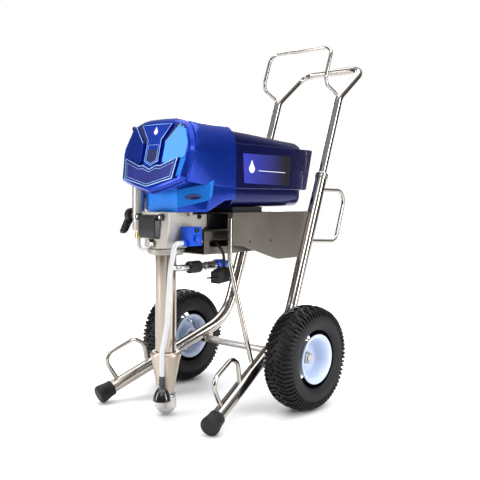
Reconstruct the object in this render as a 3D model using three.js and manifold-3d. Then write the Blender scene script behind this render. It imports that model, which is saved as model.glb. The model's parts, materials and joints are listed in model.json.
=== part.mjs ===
// Electric airless paint sprayer on a two-wheeled hi-boy cart, in millimetres.
// +Z is up and the machine faces -Y. While it is laid out, y = 0 is the wheel axle and z = 0 the ground;
// the finished group is then moved so that its origin is the middle of its box, on the ground.
import * as THREE from "three";
import { mergeVertices } from "three/addons/utils/BufferGeometryUtils.js";
import Module from "manifold-3d";

const wasm = await Module();
wasm.setup();

// ---- driving dimensions ----
const GAP = 0.3; // between touching pieces
const DEG = Math.PI / 180;

// wheels and axle
const TYRE_RADIUS = 130;
const TYRE_WIDTH = 84;
const RIM_RADIUS = 62;
const TRACK = 434; // centre to centre
const AXLE_RADIUS = 10;
const RUNNING_GAP = 0.4; // between a turning piece and what carries it
const BUSH_WALL = 3.3;
const BUSH_RADIUS = AXLE_RADIUS + RUNNING_GAP + BUSH_WALL;
const HUB_WALL = 10;
const HUB_RADIUS = BUSH_RADIUS + GAP + HUB_WALL;
const HUB_INNER = -34; // hub ends, from the wheel's middle plane outwards
const HUB_OUTER = 2;
const DISH_DEPTH = -6;
const NUT_WALL = 5;
const NUT_LENGTH = 8;

// handle
const HANDLE_RADIUS = 11;
const HANDLE_INSERTION = 130;
const HANDLE_TRAVEL = 205;
const HANDLE_CLEARANCE = 2.4; // in the upright's bore
const JUNCTION_Z = 810;
const GRIP_Y = 416;
const GRIP_Z = 903;
const GRIP_BEND_RADIUS = 42;
const HOOK_TOP_Z = 944;
const HOOK_FRONT_Y = 218;
const HOOK_FRONT_Z = 840;
const COLLAR_LENGTH = 16;
const COLLAR_CLEARANCE = 0.5;

// cart frame
const TUBE_WALL = 2.6;
const TUBE_BORE_RADIUS = HANDLE_RADIUS + HANDLE_CLEARANCE;
const TUBE_RADIUS = TUBE_BORE_RADIUS + TUBE_WALL;
const UPRIGHT_X = 108.8;
const UPRIGHT_LEAN = 19.9 * DEG;
const UPRIGHT_FOOT_Y = -1.3; // where the leaning line meets the ground
const UPRIGHT_TOP_Z = 577;
const KNEE_Z = TYRE_RADIUS + 54;
const KNEE_BEND_RADIUS = 140;
const FOOT_X = 190;
const FOOT_Y = -312;
const FOOT_Z = 25;
const CAP_WALL = 6.7;
const CAP_RADIUS = TUBE_RADIUS + GAP + CAP_WALL;
const CAP_LENGTH = 54;
const ROD_RADIUS = 5;
const BRACE_RADIUS = 6;
const WELD_GAP = 1.2; // left between welded rods and tubes

// deck between the uprights
const SHEET = 3;
const PLATE_TOP_Z = 488;
const PLATE_FRONT_Y = -150;
const PLATE_FRONT_Z = 409;
const PLATE_REAR_Z = 366;
const PLATE_X = UPRIGHT_X - 6;
const PLATE_FLANGE = 14;
const DECK_REAR_Y = 118;
const BRACKET_HALF_WIDTH = 62;
const BRACKET_FRONT_Y = -203;
const BRACKET_REAR_Y = 96;
const BRACKET_STEP_Y = -60;
const BRACKET_FLOOR_Z = 387;
const BRACKET_LIP_Z = 443;

// pump
const PUMP_Y = -270;
const CYLINDER_RADIUS = 25;
const CYLINDER_BORE_RADIUS = 20;
const CYLINDER_TOP_Z = 388;
const CYLINDER_FOOT_Z = 156;
const STRAINER_FOOT_Z = 6;
const INTAKE_FOOT_Z = 54;
const CLAMP_RING_HEIGHT = 16;
const PUMP_ROD_RADIUS = 11;
const PUMP_ROD_CLEARANCE = 0.8;
const STROKE = 50;
const OUTLET_X = 45;
const OUTLET_Z = 358;
const VALVE_X = 62;
const DRAIN_RADIUS = 6;
const FILTER_RADIUS = 15;
const FILTER_X = -78;
const FILTER_Y = -288;
const FILTER_TOP_Z = 552;
const MANIFOLD_TOP_Z = 462;
const LEVER_Z = 479;
const LEVER_THICKNESS = 14;

// drive
const CRANK_Z = 545;
const GEAR_MODULE = 1.8;
const PINION_TEETH = 12;
const GEAR_TEETH = 48;
const GEAR_THICKNESS = 14;
const CRANK_BEARING_RADIUS = 18;
const CRANK_PIN_RADIUS = 8;
const CLEVIS_PIN_RADIUS = 6;
const CONROD_LENGTH = 90;
const HOUSING_TOP_Z = 490;
const HOUSING_FRONT_Y = PUMP_Y - 46;
const HOUSING_REAR_Y = -178;
const HOUSING_HALF_WIDTH = 46;
const WEB_Y = -236;
const MOTOR_RADIUS = 64;
const MOTOR_BORE_RADIUS = 46;
const ROTOR_CLEARANCE = 2;
const MOTOR_SHAFT_RADIUS = 6;
const MOTOR_FRONT_Y = -128;
const MOTOR_REAR_Y = 24;
const MOTOR_Z = CRANK_Z + (GEAR_MODULE * (PINION_TEETH + GEAR_TEETH)) / 2;

// covers
const WALL = 3;
const COVER_HALF_WIDTH = 100;
const COVER_REAR_Y = 165;
const COVER_HEADROOM = 27; // over the motor
const COVER_TOP_Z = MOTOR_Z + MOTOR_RADIUS + COVER_HEADROOM;
const COVER_DROP = 22; // of the top towards the rear
const COVER_REAR_SLOPE = 0.22;
const COVER_FOOT_Z = 501.5;
const SHROUD_HALF_WIDTH = COVER_HALF_WIDTH + 12;
const SHROUD_REAR_Y = -147;
const SHROUD_TOP_Z = COVER_TOP_Z + 10;
const SKIRT_FRONT_Y = -282;
const SKIRT_FOOT_Z = 493;
const FACE_TOP_Y = -274; // where the sloping front face meets the top
const FACE_SLOPE = 0.232;
const KNOB_Y = -262;
const SWITCH_Y = -205;
const CONTROLS_Z = 622;

// mains lead
const BOX_HALF_WIDTH = 46;
const BOX_FRONT_Y = -176;
const BOX_REAR_Y = -68;
const GLAND_LENGTH = 24;
const CORD_RADIUS = 3.5;
const COIL_MEAN_RADIUS = 42;
const COIL_LAYERS = 3;
const COIL = new THREE.Vector3(0, 38, BRACKET_FLOOR_Z + SHEET + 0.5);
const LEAD_X = 30;
const LEAD_Z = 462;

// ---- geometry helpers ----
const v3 = (x, y, z) => new THREE.Vector3(x, y, z);
const uprightY = (z) => UPRIGHT_FOOT_Y + z * Math.tan(UPRIGHT_LEAN);
const root = new THREE.Group();

function solid(geometry) {
  const bare = new THREE.BufferGeometry();
  const source = geometry.index ? geometry.toNonIndexed() : geometry;
  bare.setAttribute("position", source.getAttribute("position"));
  const merged = mergeVertices(bare, 1e-4);
  return new wasm.Manifold(
    new wasm.Mesh({
      numProp: 3,
      vertProperties: new Float32Array(merged.attributes.position.array),
      triVerts: new Uint32Array(merged.index.array),
    }),
  );
}

function geometryOf(manifold) {
  const mesh = manifold.getMesh();
  const geometry = new THREE.BufferGeometry();
  const place = new THREE.BufferAttribute(new Float32Array(mesh.vertProperties), 3);
  geometry.setAttribute("position", place);
  geometry.setIndex(new THREE.BufferAttribute(new Uint32Array(mesh.triVerts), 1));
  geometry.computeVertexNormals();
  return geometry;
}

function join(...geometries) {
  return geometryOf(geometries.map(solid).reduce((a, b) => a.add(b)));
}

function cut(body, ...tools) {
  return geometryOf(tools.map(solid).reduce((a, b) => a.subtract(b), solid(body)));
}

// A mesh in the group, with its own material.
function add(name, geometry, finish) {
  const [color, roughness, metalness] = finish;
  const material = new THREE.MeshStandardMaterial({ color, roughness, metalness });
  const mesh = new THREE.Mesh(geometry, material);
  mesh.name = name;
  root.add(mesh);
  return mesh;
}

const FINISH = {
  stainless: [0xb9b4ac, 0.22, 1],
  brushed: [0x6d675f, 0.38, 1],
  castAluminium: [0xc9c4bb, 0.5, 0.9],
  nickel: [0xcdbfae, 0.3, 1],
  brass: [0xb08d4a, 0.3, 1],
  steel: [0x8a8a8c, 0.4, 1],
  copper: [0x9a5a35, 0.4, 1],
  blackPlastic: [0x101012, 0.45, 0],
  blackRubber: [0x141416, 0.75, 0],
  blueGloss: [0x0a3fd0, 0.15, 0.1],
  navyGloss: [0x0b1550, 0.2, 0.1],
  bluePlastic: [0x1450e0, 0.35, 0],
  whitePaint: [0xd9e2f2, 0.3, 0],
  clearTube: [0xe8ebee, 0.2, 0],
};

// A box between two corners.
function block(x0, y0, z0, x1, y1, z1) {
  const box = new THREE.BoxGeometry(x1 - x0, y1 - y0, z1 - z0);
  return box.translate((x0 + x1) / 2, (y0 + y1) / 2, (z0 + z1) / 2);
}

// A cylinder or cone between two points.
function rod(from, to, radius, sides = 18, endRadius = radius) {
  const axis = to.clone().sub(from);
  const geometry = new THREE.CylinderGeometry(endRadius, radius, axis.length(), sides);
  const turn = new THREE.Quaternion().setFromUnitVectors(v3(0, 1, 0), axis.clone().normalize());
  const middle = from.clone().add(to).multiplyScalar(0.5);
  return geometry.applyQuaternion(turn).translate(middle.x, middle.y, middle.z);
}

// A turned piece: profile points are [radius, height], from the axis round and back to it.
function turned(profile, centre, axis = v3(0, 0, 1), sides = 20) {
  const points = profile.map(([r, h]) => new THREE.Vector2(r, h));
  if (THREE.ShapeUtils.area(points) < 0) points.reverse();
  const geometry = new THREE.LatheGeometry(points, sides);
  const turn = new THREE.Quaternion().setFromUnitVectors(v3(0, 1, 0), axis.clone().normalize());
  return geometry.applyQuaternion(turn).translate(centre.x, centre.y, centre.z);
}

// A path that steps from knot to knot, so that straight runs take one step and bends several.
class KnotPath extends THREE.Curve {
  constructor(knots) {
    super();
    this.knots = knots;
  }
  getPointAt(u, target = v3()) {
    const at = u * (this.knots.length - 1);
    const index = Math.min(Math.floor(at + 1e-9), this.knots.length - 2);
    return target.lerpVectors(this.knots[index], this.knots[index + 1], at - index);
  }
  getPoint(u, target) {
    return this.getPointAt(u, target);
  }
  getTangentAt(u, target = v3()) {
    const last = this.knots.length - 1;
    const index = Math.round(u * last);
    const before = this.knots[Math.max(index - 1, 0)];
    const here = this.knots[index];
    const after = this.knots[Math.min(index + 1, last)];
    const into = here.clone().sub(before).normalize();
    const out = after.clone().sub(here).normalize();
    return target.addVectors(into, out).normalize();
  }
  getTangent(u, target) {
    return this.getTangentAt(u, target);
  }
}

// Knots of a polyline whose corners are bent to a radius.
function bent(corners, bendRadius, steps = 5) {
  const knots = [corners[0].clone()];
  for (let i = 1; i < corners.length - 1; i += 1) {
    const into = corners[i].clone().sub(corners[i - 1]);
    const out = corners[i + 1].clone().sub(corners[i]);
    const room = Math.min(into.length(), out.length()) * 0.49;
    into.normalize();
    out.normalize();
    const half = into.angleTo(out) / 2;
    const tangent = Math.min(bendRadius * Math.tan(half), room);
    const radius = tangent / Math.tan(half);
    const start = corners[i].clone().addScaledVector(into, -tangent);
    const toCentre = out.clone().sub(into).normalize();
    const side = toCentre.clone().addScaledVector(into, -toCentre.dot(into)).normalize();
    for (let k = 0; k <= steps; k += 1) {
      const angle = (2 * half * k) / steps;
      const knot = start.clone().addScaledVector(into, radius * Math.sin(angle));
      knots.push(knot.addScaledVector(side, radius * (1 - Math.cos(angle))));
    }
  }
  knots.push(corners[corners.length - 1].clone());
  return knots;
}

function circle(radius, sides) {
  const shape = new THREE.Shape();
  for (let i = 0; i < sides; i += 1) {
    const angle = (2 * Math.PI * i) / sides;
    const move = i === 0 ? "moveTo" : "lineTo";
    shape[move](radius * Math.cos(angle), radius * Math.sin(angle));
  }
  shape.closePath();
  return shape;
}

function tube(knots, radius, sides = 10) {
  return new THREE.ExtrudeGeometry(circle(radius, sides), {
    steps: knots.length - 1,
    extrudePath: new KnotPath(knots),
    bevelEnabled: false,
  });
}

// A flat sheet outline in y and z, extruded along x.
function sidewaysPlate(outline, x0, x1, holes = []) {
  const shape = new THREE.Shape(outline.map(([y, z]) => new THREE.Vector2(y, z)));
  holes.forEach((hole) => shape.holes.push(hole));
  const geometry = new THREE.ExtrudeGeometry(shape, {
    depth: x1 - x0,
    bevelEnabled: false,
    curveSegments: 6,
  });
  const turn = new THREE.Matrix4().makeBasis(v3(0, 1, 0), v3(0, 0, 1), v3(1, 0, 0));
  return geometry.applyMatrix4(turn).translate(x0, 0, 0);
}

function roundHole(y, z, radius) {
  return new THREE.Path().absarc(y, z, radius, 0, 2 * Math.PI, true);
}

// A closed skin over loops of points that match one to one, capped at both ends.
function loft(loops) {
  const count = loops[0].length;
  const triangles = [];
  const put = (...corners) => corners.forEach((p) => triangles.push(p.x, p.y, p.z));
  for (let k = 0; k < loops.length - 1; k += 1) {
    for (let i = 0; i < count; i += 1) {
      const j = (i + 1) % count;
      put(loops[k][i], loops[k][j], loops[k + 1][j]);
      put(loops[k][i], loops[k + 1][j], loops[k + 1][i]);
    }
  }
  const middle = (loop) => loop.reduce((a, p) => a.add(p), v3(0, 0, 0)).multiplyScalar(1 / count);
  const first = middle(loops[0]);
  const last = middle(loops[loops.length - 1]);
  for (let i = 0; i < count; i += 1) {
    const j = (i + 1) % count;
    put(first, loops[0][j], loops[0][i]);
    put(last, loops[loops.length - 1][i], loops[loops.length - 1][j]);
  }
  const geometry = new THREE.BufferGeometry();
  geometry.setAttribute("position", new THREE.BufferAttribute(new Float32Array(triangles), 3));
  return geometry;
}

function mirrored(geometry) {
  const copy = geometryOf(solid(geometry));
  copy.scale(-1, 1, 1);
  const index = copy.index.array;
  for (let i = 0; i < index.length; i += 3) {
    const swap = index[i + 1];
    index[i + 1] = index[i + 2];
    index[i + 2] = swap;
  }
  copy.computeVertexNormals();
  return copy;
}

// The same piece on the left (+X) and on the right (-X).
function addPair(name, geometry, finish) {
  add(`${name}_left`, geometry, finish);
  add(`${name}_right`, mirrored(geometry), finish);
}

function gear(teeth, module, thickness, phase) {
  const pitch = (module * teeth) / 2;
  const shape = new THREE.Shape();
  const step = (2 * Math.PI) / teeth;
  const corners = [
    [pitch - 1.15 * module, -0.33],
    [pitch + 0.85 * module, -0.1],
    [pitch + 0.85 * module, 0.1],
    [pitch - 1.15 * module, 0.33],
  ];
  for (let i = 0; i < teeth; i += 1) {
    corners.forEach(([radius, share], k) => {
      const angle = phase + (i + share) * step;
      const move = i + k === 0 ? "moveTo" : "lineTo";
      shape[move](radius * Math.cos(angle), radius * Math.sin(angle));
    });
  }
  shape.closePath();
  return new THREE.ExtrudeGeometry(shape, { depth: thickness, bevelEnabled: false });
}

// Turns a piece extruded along z so that it runs along y from a given place.
function alongY(geometry, x, y, z) {
  return geometry.rotateX(Math.PI / 2).translate(x, y, z);
}

// ---- cart frame ----
const knee = v3(UPRIGHT_X, uprightY(KNEE_Z), KNEE_Z);
const foot = v3(FOOT_X, FOOT_Y, FOOT_Z);
const uprightAxis = v3(0, Math.sin(UPRIGHT_LEAN), Math.cos(UPRIGHT_LEAN));
const uprightTop = v3(UPRIGHT_X, uprightY(UPRIGHT_TOP_Z), UPRIGHT_TOP_Z);
const legAxis = foot.clone().sub(knee).normalize();
const legAt = (y) => foot.clone().lerp(knee, (y - FOOT_Y) / (knee.y - FOOT_Y));

// A bent rod loop is welded on each leg behind its foot.
function legLoop() {
  const onLeg = (y, z) => v3(legAt(y).x, y, z);
  const frontFoot = onLeg(-264, legAt(-264).z);
  const rearFoot = onLeg(-184, legAt(-184).z);
  const corners = [frontFoot, onLeg(-311, 120), onLeg(-224, 156), onLeg(-196, 140), rearFoot];
  return tube(bent(corners, 16, 4), ROD_RADIUS, 10);
}

// Each side is one stainless tube: a leg with its loop, a wide knee bend and a leaning upright
// bored for the handle.
function sideFrame() {
  const outer = tube(bent([foot, knee, uprightTop], KNEE_BEND_RADIUS, 6), TUBE_RADIUS, 14);
  const boreDepth = HANDLE_INSERTION + HANDLE_TRAVEL + 8;
  const boreFoot = uprightTop.clone().addScaledVector(uprightAxis, -boreDepth);
  const boreTop = uprightTop.clone().addScaledVector(uprightAxis, 5);
  const bore = rod(boreFoot, boreTop, TUBE_BORE_RADIUS);
  const gusset = block(UPRIGHT_X + 4, -15, TYRE_RADIUS - 6, UPRIGHT_X + 24, 15, TYRE_RADIUS + 22);
  const inside = v3(UPRIGHT_X - 30, 0, TYRE_RADIUS);
  const outside = v3(FOOT_X, 0, TYRE_RADIUS);
  const axleSeat = rod(inside, outside, AXLE_RADIUS + GAP);
  return cut(join(outer, gusset, legLoop()), bore, axleSeat);
}
addPair("side_frame", sideFrame(), FINISH.stainless);

// A guide collar on top of each upright, which the handle tube slides through.
function handleCollar() {
  const bore = HANDLE_RADIUS + COLLAR_CLEARANCE;
  const profile = [
    [bore, 0],
    [TUBE_RADIUS + 2, 0],
    [TUBE_RADIUS + 2, COLLAR_LENGTH - 3],
    [TUBE_RADIUS - 1, COLLAR_LENGTH],
    [bore, COLLAR_LENGTH],
    [bore, 0],
  ];
  return turned(profile, uprightTop.clone().addScaledVector(uprightAxis, GAP), uprightAxis);
}
addPair("handle_collar", handleCollar(), FINISH.stainless);

// Rubber boots on the ends of the legs.
function footCap() {
  const inner = CAP_LENGTH - 12;
  const profile = [
    [0, 0],
    [TUBE_RADIUS + GAP, 0],
    [TUBE_RADIUS + GAP, -inner],
    [CAP_RADIUS, -inner],
    [CAP_RADIUS, -inner + 8],
    [CAP_RADIUS - 2, 6],
    [CAP_RADIUS - 6, 12],
    [0, 12],
  ];
  return turned(profile, foot.clone().addScaledVector(legAxis, GAP), legAxis);
}
addPair("foot_cap", footCap(), FINISH.blackRubber);

const AXLE_END = TRACK / 2 + HUB_OUTER + NUT_LENGTH + 6;
add(
  "axle",
  rod(v3(-AXLE_END, 0, TYRE_RADIUS), v3(AXLE_END, 0, TYRE_RADIUS), AXLE_RADIUS),
  FINISH.castAluminium,
);

// The deck is one folded sheet: a top under the motor and a plate down each side, from the upright
// to the front brace.
const plateRear = (z) => uprightY(z) - (TUBE_RADIUS + WELD_GAP) / Math.cos(UPRIGHT_LEAN);
function sidePlate() {
  const outline = [
    [PLATE_FRONT_Y, PLATE_TOP_Z],
    [PLATE_FRONT_Y, PLATE_FRONT_Z],
    [-106, 404],
    [4, 371],
    [26, PLATE_REAR_Z],
    [plateRear(PLATE_REAR_Z), PLATE_REAR_Z],
    [plateRear(PLATE_TOP_Z), PLATE_TOP_Z],
  ];
  const holes = [roundHole(-86, 416, 3.2), roundHole(-6, 416, 3.2)];
  const web = sidewaysPlate(outline, PLATE_X, PLATE_X + SHEET, holes);
  const low = [PLATE_X - PLATE_FLANGE, PLATE_FRONT_Y - 1, PLATE_FRONT_Z];
  const flange = block(...low, PLATE_X + SHEET, PLATE_FRONT_Y + 2, PLATE_TOP_Z);
  return join(web, flange);
}
function deck() {
  const low = [-PLATE_X - 1, PLATE_FRONT_Y + 1, PLATE_TOP_Z - SHEET];
  const top = block(...low, PLATE_X + 1, DECK_REAR_Y, PLATE_TOP_Z);
  return join(top, sidePlate(), mirrored(sidePlate()));
}
add("deck", deck(), FINISH.brushed);

// A slotted channel hangs under the deck and carries the drive.
function mountBracket() {
  const ceiling = PLATE_TOP_Z - SHEET - GAP;
  const outline = [
    [BRACKET_FRONT_Y, BRACKET_FLOOR_Z],
    [BRACKET_REAR_Y, BRACKET_FLOOR_Z],
    [BRACKET_REAR_Y, ceiling],
    [BRACKET_STEP_Y, ceiling],
    [BRACKET_STEP_Y, BRACKET_LIP_Z],
    [BRACKET_FRONT_Y, BRACKET_LIP_Z],
  ];
  const whole = sidewaysPlate(outline, -BRACKET_HALF_WIDTH, BRACKET_HALF_WIDTH);
  const innerHalf = BRACKET_HALF_WIDTH - SHEET;
  const low = [-innerHalf, BRACKET_FRONT_Y - 5, BRACKET_FLOOR_Z + SHEET];
  const inside = block(...low, innerHalf, BRACKET_REAR_Y + 5, PLATE_TOP_Z + 5);
  const slot = new THREE.Shape();
  slot.absarc(-178, 413, 8, Math.PI / 2, (3 * Math.PI) / 2);
  slot.absarc(-122, 413, 8, -Math.PI / 2, Math.PI / 2);
  const slotOutline = slot.getPoints(6).map((p) => [p.x, p.y]);
  const reach = BRACKET_HALF_WIDTH + 5;
  return cut(whole, inside, sidewaysPlate(slotOutline, -reach, reach));
}
add("mount_bracket", mountBracket(), FINISH.brushed);

// A brace runs down each plate's front edge and out to the leg.
function braceRod() {
  const braceY = PLATE_FRONT_Y - 1 - BRACE_RADIUS - GAP;
  const acrossLeg = v3(0, -1, 2.37).normalize();
  const landing = legAt(-118).addScaledVector(acrossLeg, TUBE_RADIUS + BRACE_RADIUS + WELD_GAP);
  const top = v3(PLATE_X, braceY, PLATE_TOP_Z - 14);
  const bend = v3(PLATE_X, braceY, PLATE_REAR_Z);
  return tube(bent([top, bend, landing], 30, 4), BRACE_RADIUS);
}
addPair("brace_rod", braceRod(), FINISH.stainless);

// A rod loop behind the left upright, for the hose.
function hoseRack() {
  const behind = (z) => uprightY(z) + (TUBE_RADIUS + WELD_GAP) / Math.cos(UPRIGHT_LEAN) + 1;
  const corners = [
    v3(UPRIGHT_X, behind(545), 546),
    v3(UPRIGHT_X, 334, 545),
    v3(UPRIGHT_X, 284, 401),
    v3(UPRIGHT_X, behind(408), 407),
  ];
  return tube(bent(corners, 32, 4), ROD_RADIUS, 8);
}
add("hose_rack", hoseRack(), FINISH.stainless);

// ---- handle ----
const junction = v3(UPRIGHT_X, uprightY(JUNCTION_Z), JUNCTION_Z);

// A bar bent symmetrically, given its left half as corners that end on the middle plane.
function symmetricBar(corners, bendRadius, radius, sides) {
  const half = bent(corners, bendRadius, 4);
  half.pop();
  const other = half.map((p) => v3(-p.x, p.y, p.z)).reverse();
  return tube([...half, ...other], radius, sides);
}

// Two tubes that slide in the uprights, bent back to a cross grip.
function handleBar() {
  const legFoot = uprightTop.clone().addScaledVector(uprightAxis, -HANDLE_INSERTION);
  const grip = v3(UPRIGHT_X, GRIP_Y, GRIP_Z);
  const corners = [legFoot, junction, grip, v3(0, GRIP_Y, GRIP_Z)];
  return symmetricBar(corners, GRIP_BEND_RADIUS, HANDLE_RADIUS, 12);
}
add("handle_bar", handleBar(), FINISH.stainless);

// A thinner rod loop on the front of the handle, for the hose and gun.
function hoseHook() {
  const startY = junction.y - (HANDLE_RADIUS + ROD_RADIUS + WELD_GAP) + 0.7;
  const start = v3(UPRIGHT_X, startY, JUNCTION_Z + 6);
  const front = v3(UPRIGHT_X, HOOK_FRONT_Y, HOOK_FRONT_Z);
  const topY = HOOK_FRONT_Y + (HOOK_TOP_Z - HOOK_FRONT_Z) * Math.tan(UPRIGHT_LEAN);
  const corners = [start, front, v3(UPRIGHT_X, topY, HOOK_TOP_Z), v3(0, topY, HOOK_TOP_Z)];
  return symmetricBar(corners, 26, ROD_RADIUS, 8);
}
add("hose_hook", hoseHook(), FINISH.stainless);

// ---- wheels ----
const wheelCentre = v3(TRACK / 2, 0, TYRE_RADIUS);
const outward = v3(1, 0, 0);

// Half the opening between the beads, seen from the middle of the tyre's section.
const BEAD_OPENING = 52 * DEG;
const TYRE_WALL = 8;
const SQUARENESS = 0.78; // 1 gives an oval section, less a squarer one
const sectionHeight = (TYRE_RADIUS - RIM_RADIUS) / 2;
function tyreOutside() {
  const middle = TYRE_RADIUS - sectionHeight;
  const steps = 12;
  const profile = [];
  for (let i = 0; i <= steps; i += 1) {
    const angle = -Math.PI / 2 + BEAD_OPENING + (2 * (Math.PI - BEAD_OPENING) * i) / steps;
    const squared = (value) => Math.sign(value) * Math.abs(value) ** SQUARENESS;
    const radial = squared(Math.sin(angle)) * sectionHeight;
    profile.push([middle + radial, (squared(Math.cos(angle)) * TYRE_WIDTH) / 2]);
  }
  return profile;
}
const beadHalfWidth = tyreOutside()[0][1];

// Pneumatic tyre, hollow and open between its beads.
function tyre() {
  const outside = tyreOutside();
  const bead = outside[0];
  const inside = [
    [bead[0] + TYRE_WALL, -beadHalfWidth * 0.72],
    [TYRE_RADIUS - TYRE_WALL, -beadHalfWidth * 0.8],
    [TYRE_RADIUS - TYRE_WALL, beadHalfWidth * 0.8],
    [bead[0] + TYRE_WALL, beadHalfWidth * 0.72],
  ];
  return turned([...outside, ...inside, bead], wheelCentre, outward, 28);
}
addPair("tyre", tyre(), FINISH.blackRubber);

// Pressed steel rim: a deep dish with rolled flanges on a tubular hub.
function wheelRim() {
  const flange = RIM_RADIUS - GAP;
  const half = beadHalfWidth;
  const dish = [
    [HUB_RADIUS - 2, DISH_DEPTH],
    [flange - 14, DISH_DEPTH],
    [flange - 9, half - 6],
    [flange, half + 1],
    [flange, half + 4],
    [flange - 4, half + 4],
    [flange - 13, half - 4],
    [flange - 17, DISH_DEPTH + 3],
    [HUB_RADIUS - 2, DISH_DEPTH + 3],
    [HUB_RADIUS - 2, DISH_DEPTH],
  ];
  const back = [
    [flange - 14, DISH_DEPTH],
    [flange - 9, -half + 6],
    [flange, -half - 1],
    [flange, -half - 4],
    [flange - 4, -half - 4],
    [flange - 13, -half + 4],
    [flange - 17, DISH_DEPTH + 3],
    [flange - 14, DISH_DEPTH],
  ];
  const hub = [
    [BUSH_RADIUS + GAP, HUB_INNER],
    [HUB_RADIUS, HUB_INNER],
    [HUB_RADIUS, HUB_OUTER],
    [BUSH_RADIUS + GAP, HUB_OUTER],
    [BUSH_RADIUS + GAP, HUB_INNER],
  ];
  return join(...[dish, back, hub].map((profile) => turned(profile, wheelCentre, outward)));
}
addPair("wheel_rim", wheelRim(), FINISH.whitePaint);

// A sleeve round the axle, between two places along it.
function axleSleeve(innerRadius, outerRadius, from, to) {
  const profile = [
    [innerRadius, from],
    [outerRadius, from],
    [outerRadius, to],
    [innerRadius, to],
    [innerRadius, from],
  ];
  return turned(profile, wheelCentre, outward);
}
const bushBore = AXLE_RADIUS + RUNNING_GAP;
const bush = axleSleeve(bushBore, BUSH_RADIUS, HUB_INNER - 2, HUB_OUTER + 1);
addPair("wheel_bush", bush, FINISH.blackPlastic);
const nutBore = AXLE_RADIUS + GAP;
const nutFoot = HUB_OUTER + 2;
const nut = axleSleeve(nutBore, nutBore + NUT_WALL, nutFoot, nutFoot + NUT_LENGTH);
addPair("axle_nut", nut, FINISH.steel);

// ---- drive ----
// Cast housing: a neck over the pump, a block behind the rod shield and a web with the crank bearing.
const RING_TOP_Z = CYLINDER_TOP_Z + CLAMP_RING_HEIGHT;
const NECK_BORE_RADIUS = PUMP_ROD_RADIUS + PUMP_ROD_CLEARANCE;
function driveHousing() {
  const section = (halfWidth, front, rear, corner, z) => [
    v3(halfWidth, rear, z),
    v3(-halfWidth, rear, z),
    v3(-halfWidth, front + corner, z),
    v3(-halfWidth + corner, front, z),
    v3(halfWidth - corner, front, z),
    v3(halfWidth, front + corner, z),
  ];
  const body = loft([
    section(36, PUMP_Y - 44, PUMP_Y + 34, 16, RING_TOP_Z + GAP),
    section(38, PUMP_Y - 45, PUMP_Y + 38, 14, 420),
    section(HOUSING_HALF_WIDTH, HOUSING_FRONT_Y, HOUSING_REAR_Y, 12, 455),
    section(HOUSING_HALF_WIDTH, HOUSING_FRONT_Y, HOUSING_REAR_Y, 12, HOUSING_TOP_Z),
  ]);
  const web = block(-56, WEB_Y - 10, HOUSING_TOP_Z - 10, 56, WEB_Y, CRANK_Z + 52);
  const crankAt = (y) => v3(0, y, CRANK_Z);
  const boss = rod(crankAt(WEB_Y - 10), crankAt(WEB_Y + 24), CRANK_BEARING_RADIUS + 12, 24);
  const bearing = rod(crankAt(WEB_Y - 20), crankAt(WEB_Y + 40), CRANK_BEARING_RADIUS + RUNNING_GAP, 24);
  const well = block(-26, PUMP_Y - 32, RING_TOP_Z + 4, 26, WEB_Y - 10, HOUSING_TOP_Z + 5);
  const neckBore = rod(v3(0, PUMP_Y, 380), v3(0, PUMP_Y, 430), NECK_BORE_RADIUS);
  const gearRoom = block(-60, WEB_Y, 484, 60, HOUSING_REAR_Y + 5, HOUSING_TOP_Z + 5);
  return cut(join(body, web, boss), bearing, well, neckBore, gearRoom);
}
add("drive_housing", driveHousing(), FINISH.castAluminium);

// Crankshaft, in one piece with its gear, disc and short pin.
const GEAR_Y = WEB_Y + 26;
const DISC_FRONT_Y = PUMP_Y + 12;
const CRANK_PIN_Z = CRANK_Z + STROKE / 2;
function crankGear() {
  const teeth = gear(GEAR_TEETH, GEAR_MODULE, GEAR_THICKNESS, Math.PI / 2);
  const wheel = alongY(teeth, 0, GEAR_Y + GEAR_THICKNESS, CRANK_Z);
  const shaftFront = v3(0, DISC_FRONT_Y + 5, CRANK_Z);
  const shaftRear = v3(0, GEAR_Y + GEAR_THICKNESS / 2, CRANK_Z);
  const shaft = rod(shaftFront, shaftRear, CRANK_BEARING_RADIUS, 24);
  const disc = rod(v3(0, DISC_FRONT_Y, CRANK_Z), v3(0, WEB_Y - 11, CRANK_Z), 36, 24);
  const pinFront = v3(0, PUMP_Y + 7, CRANK_PIN_Z);
  const pin = rod(pinFront, v3(0, DISC_FRONT_Y + 4, CRANK_PIN_Z), CRANK_PIN_RADIUS, 16);
  return join(wheel, shaft, disc, pin);
}
add("crank_gear", crankGear(), FINISH.steel);

// Connecting rod, hung over the pump rod's clevis pin.
const CLEVIS_Z = CRANK_PIN_Z - CONROD_LENGTH;
function connectingRod() {
  const front = PUMP_Y - 6;
  const back = PUMP_Y + 6;
  const eye = (z, radius) => rod(v3(0, front, z), v3(0, back, z), radius);
  const hole = (z, radius) => rod(v3(0, front - 5, z), v3(0, back + 5, z), radius + RUNNING_GAP);
  const shank = block(-6, front, CLEVIS_Z + CLEVIS_PIN_RADIUS, 6, back, CRANK_PIN_Z - CRANK_PIN_RADIUS);
  const whole = join(eye(CRANK_PIN_Z, CRANK_PIN_RADIUS + 7), eye(CLEVIS_Z, CLEVIS_PIN_RADIUS + 5), shank);
  return cut(whole, hole(CRANK_PIN_Z, CRANK_PIN_RADIUS), hole(CLEVIS_Z, CLEVIS_PIN_RADIUS));
}
add("connecting_rod", connectingRod(), FINISH.steel);

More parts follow.
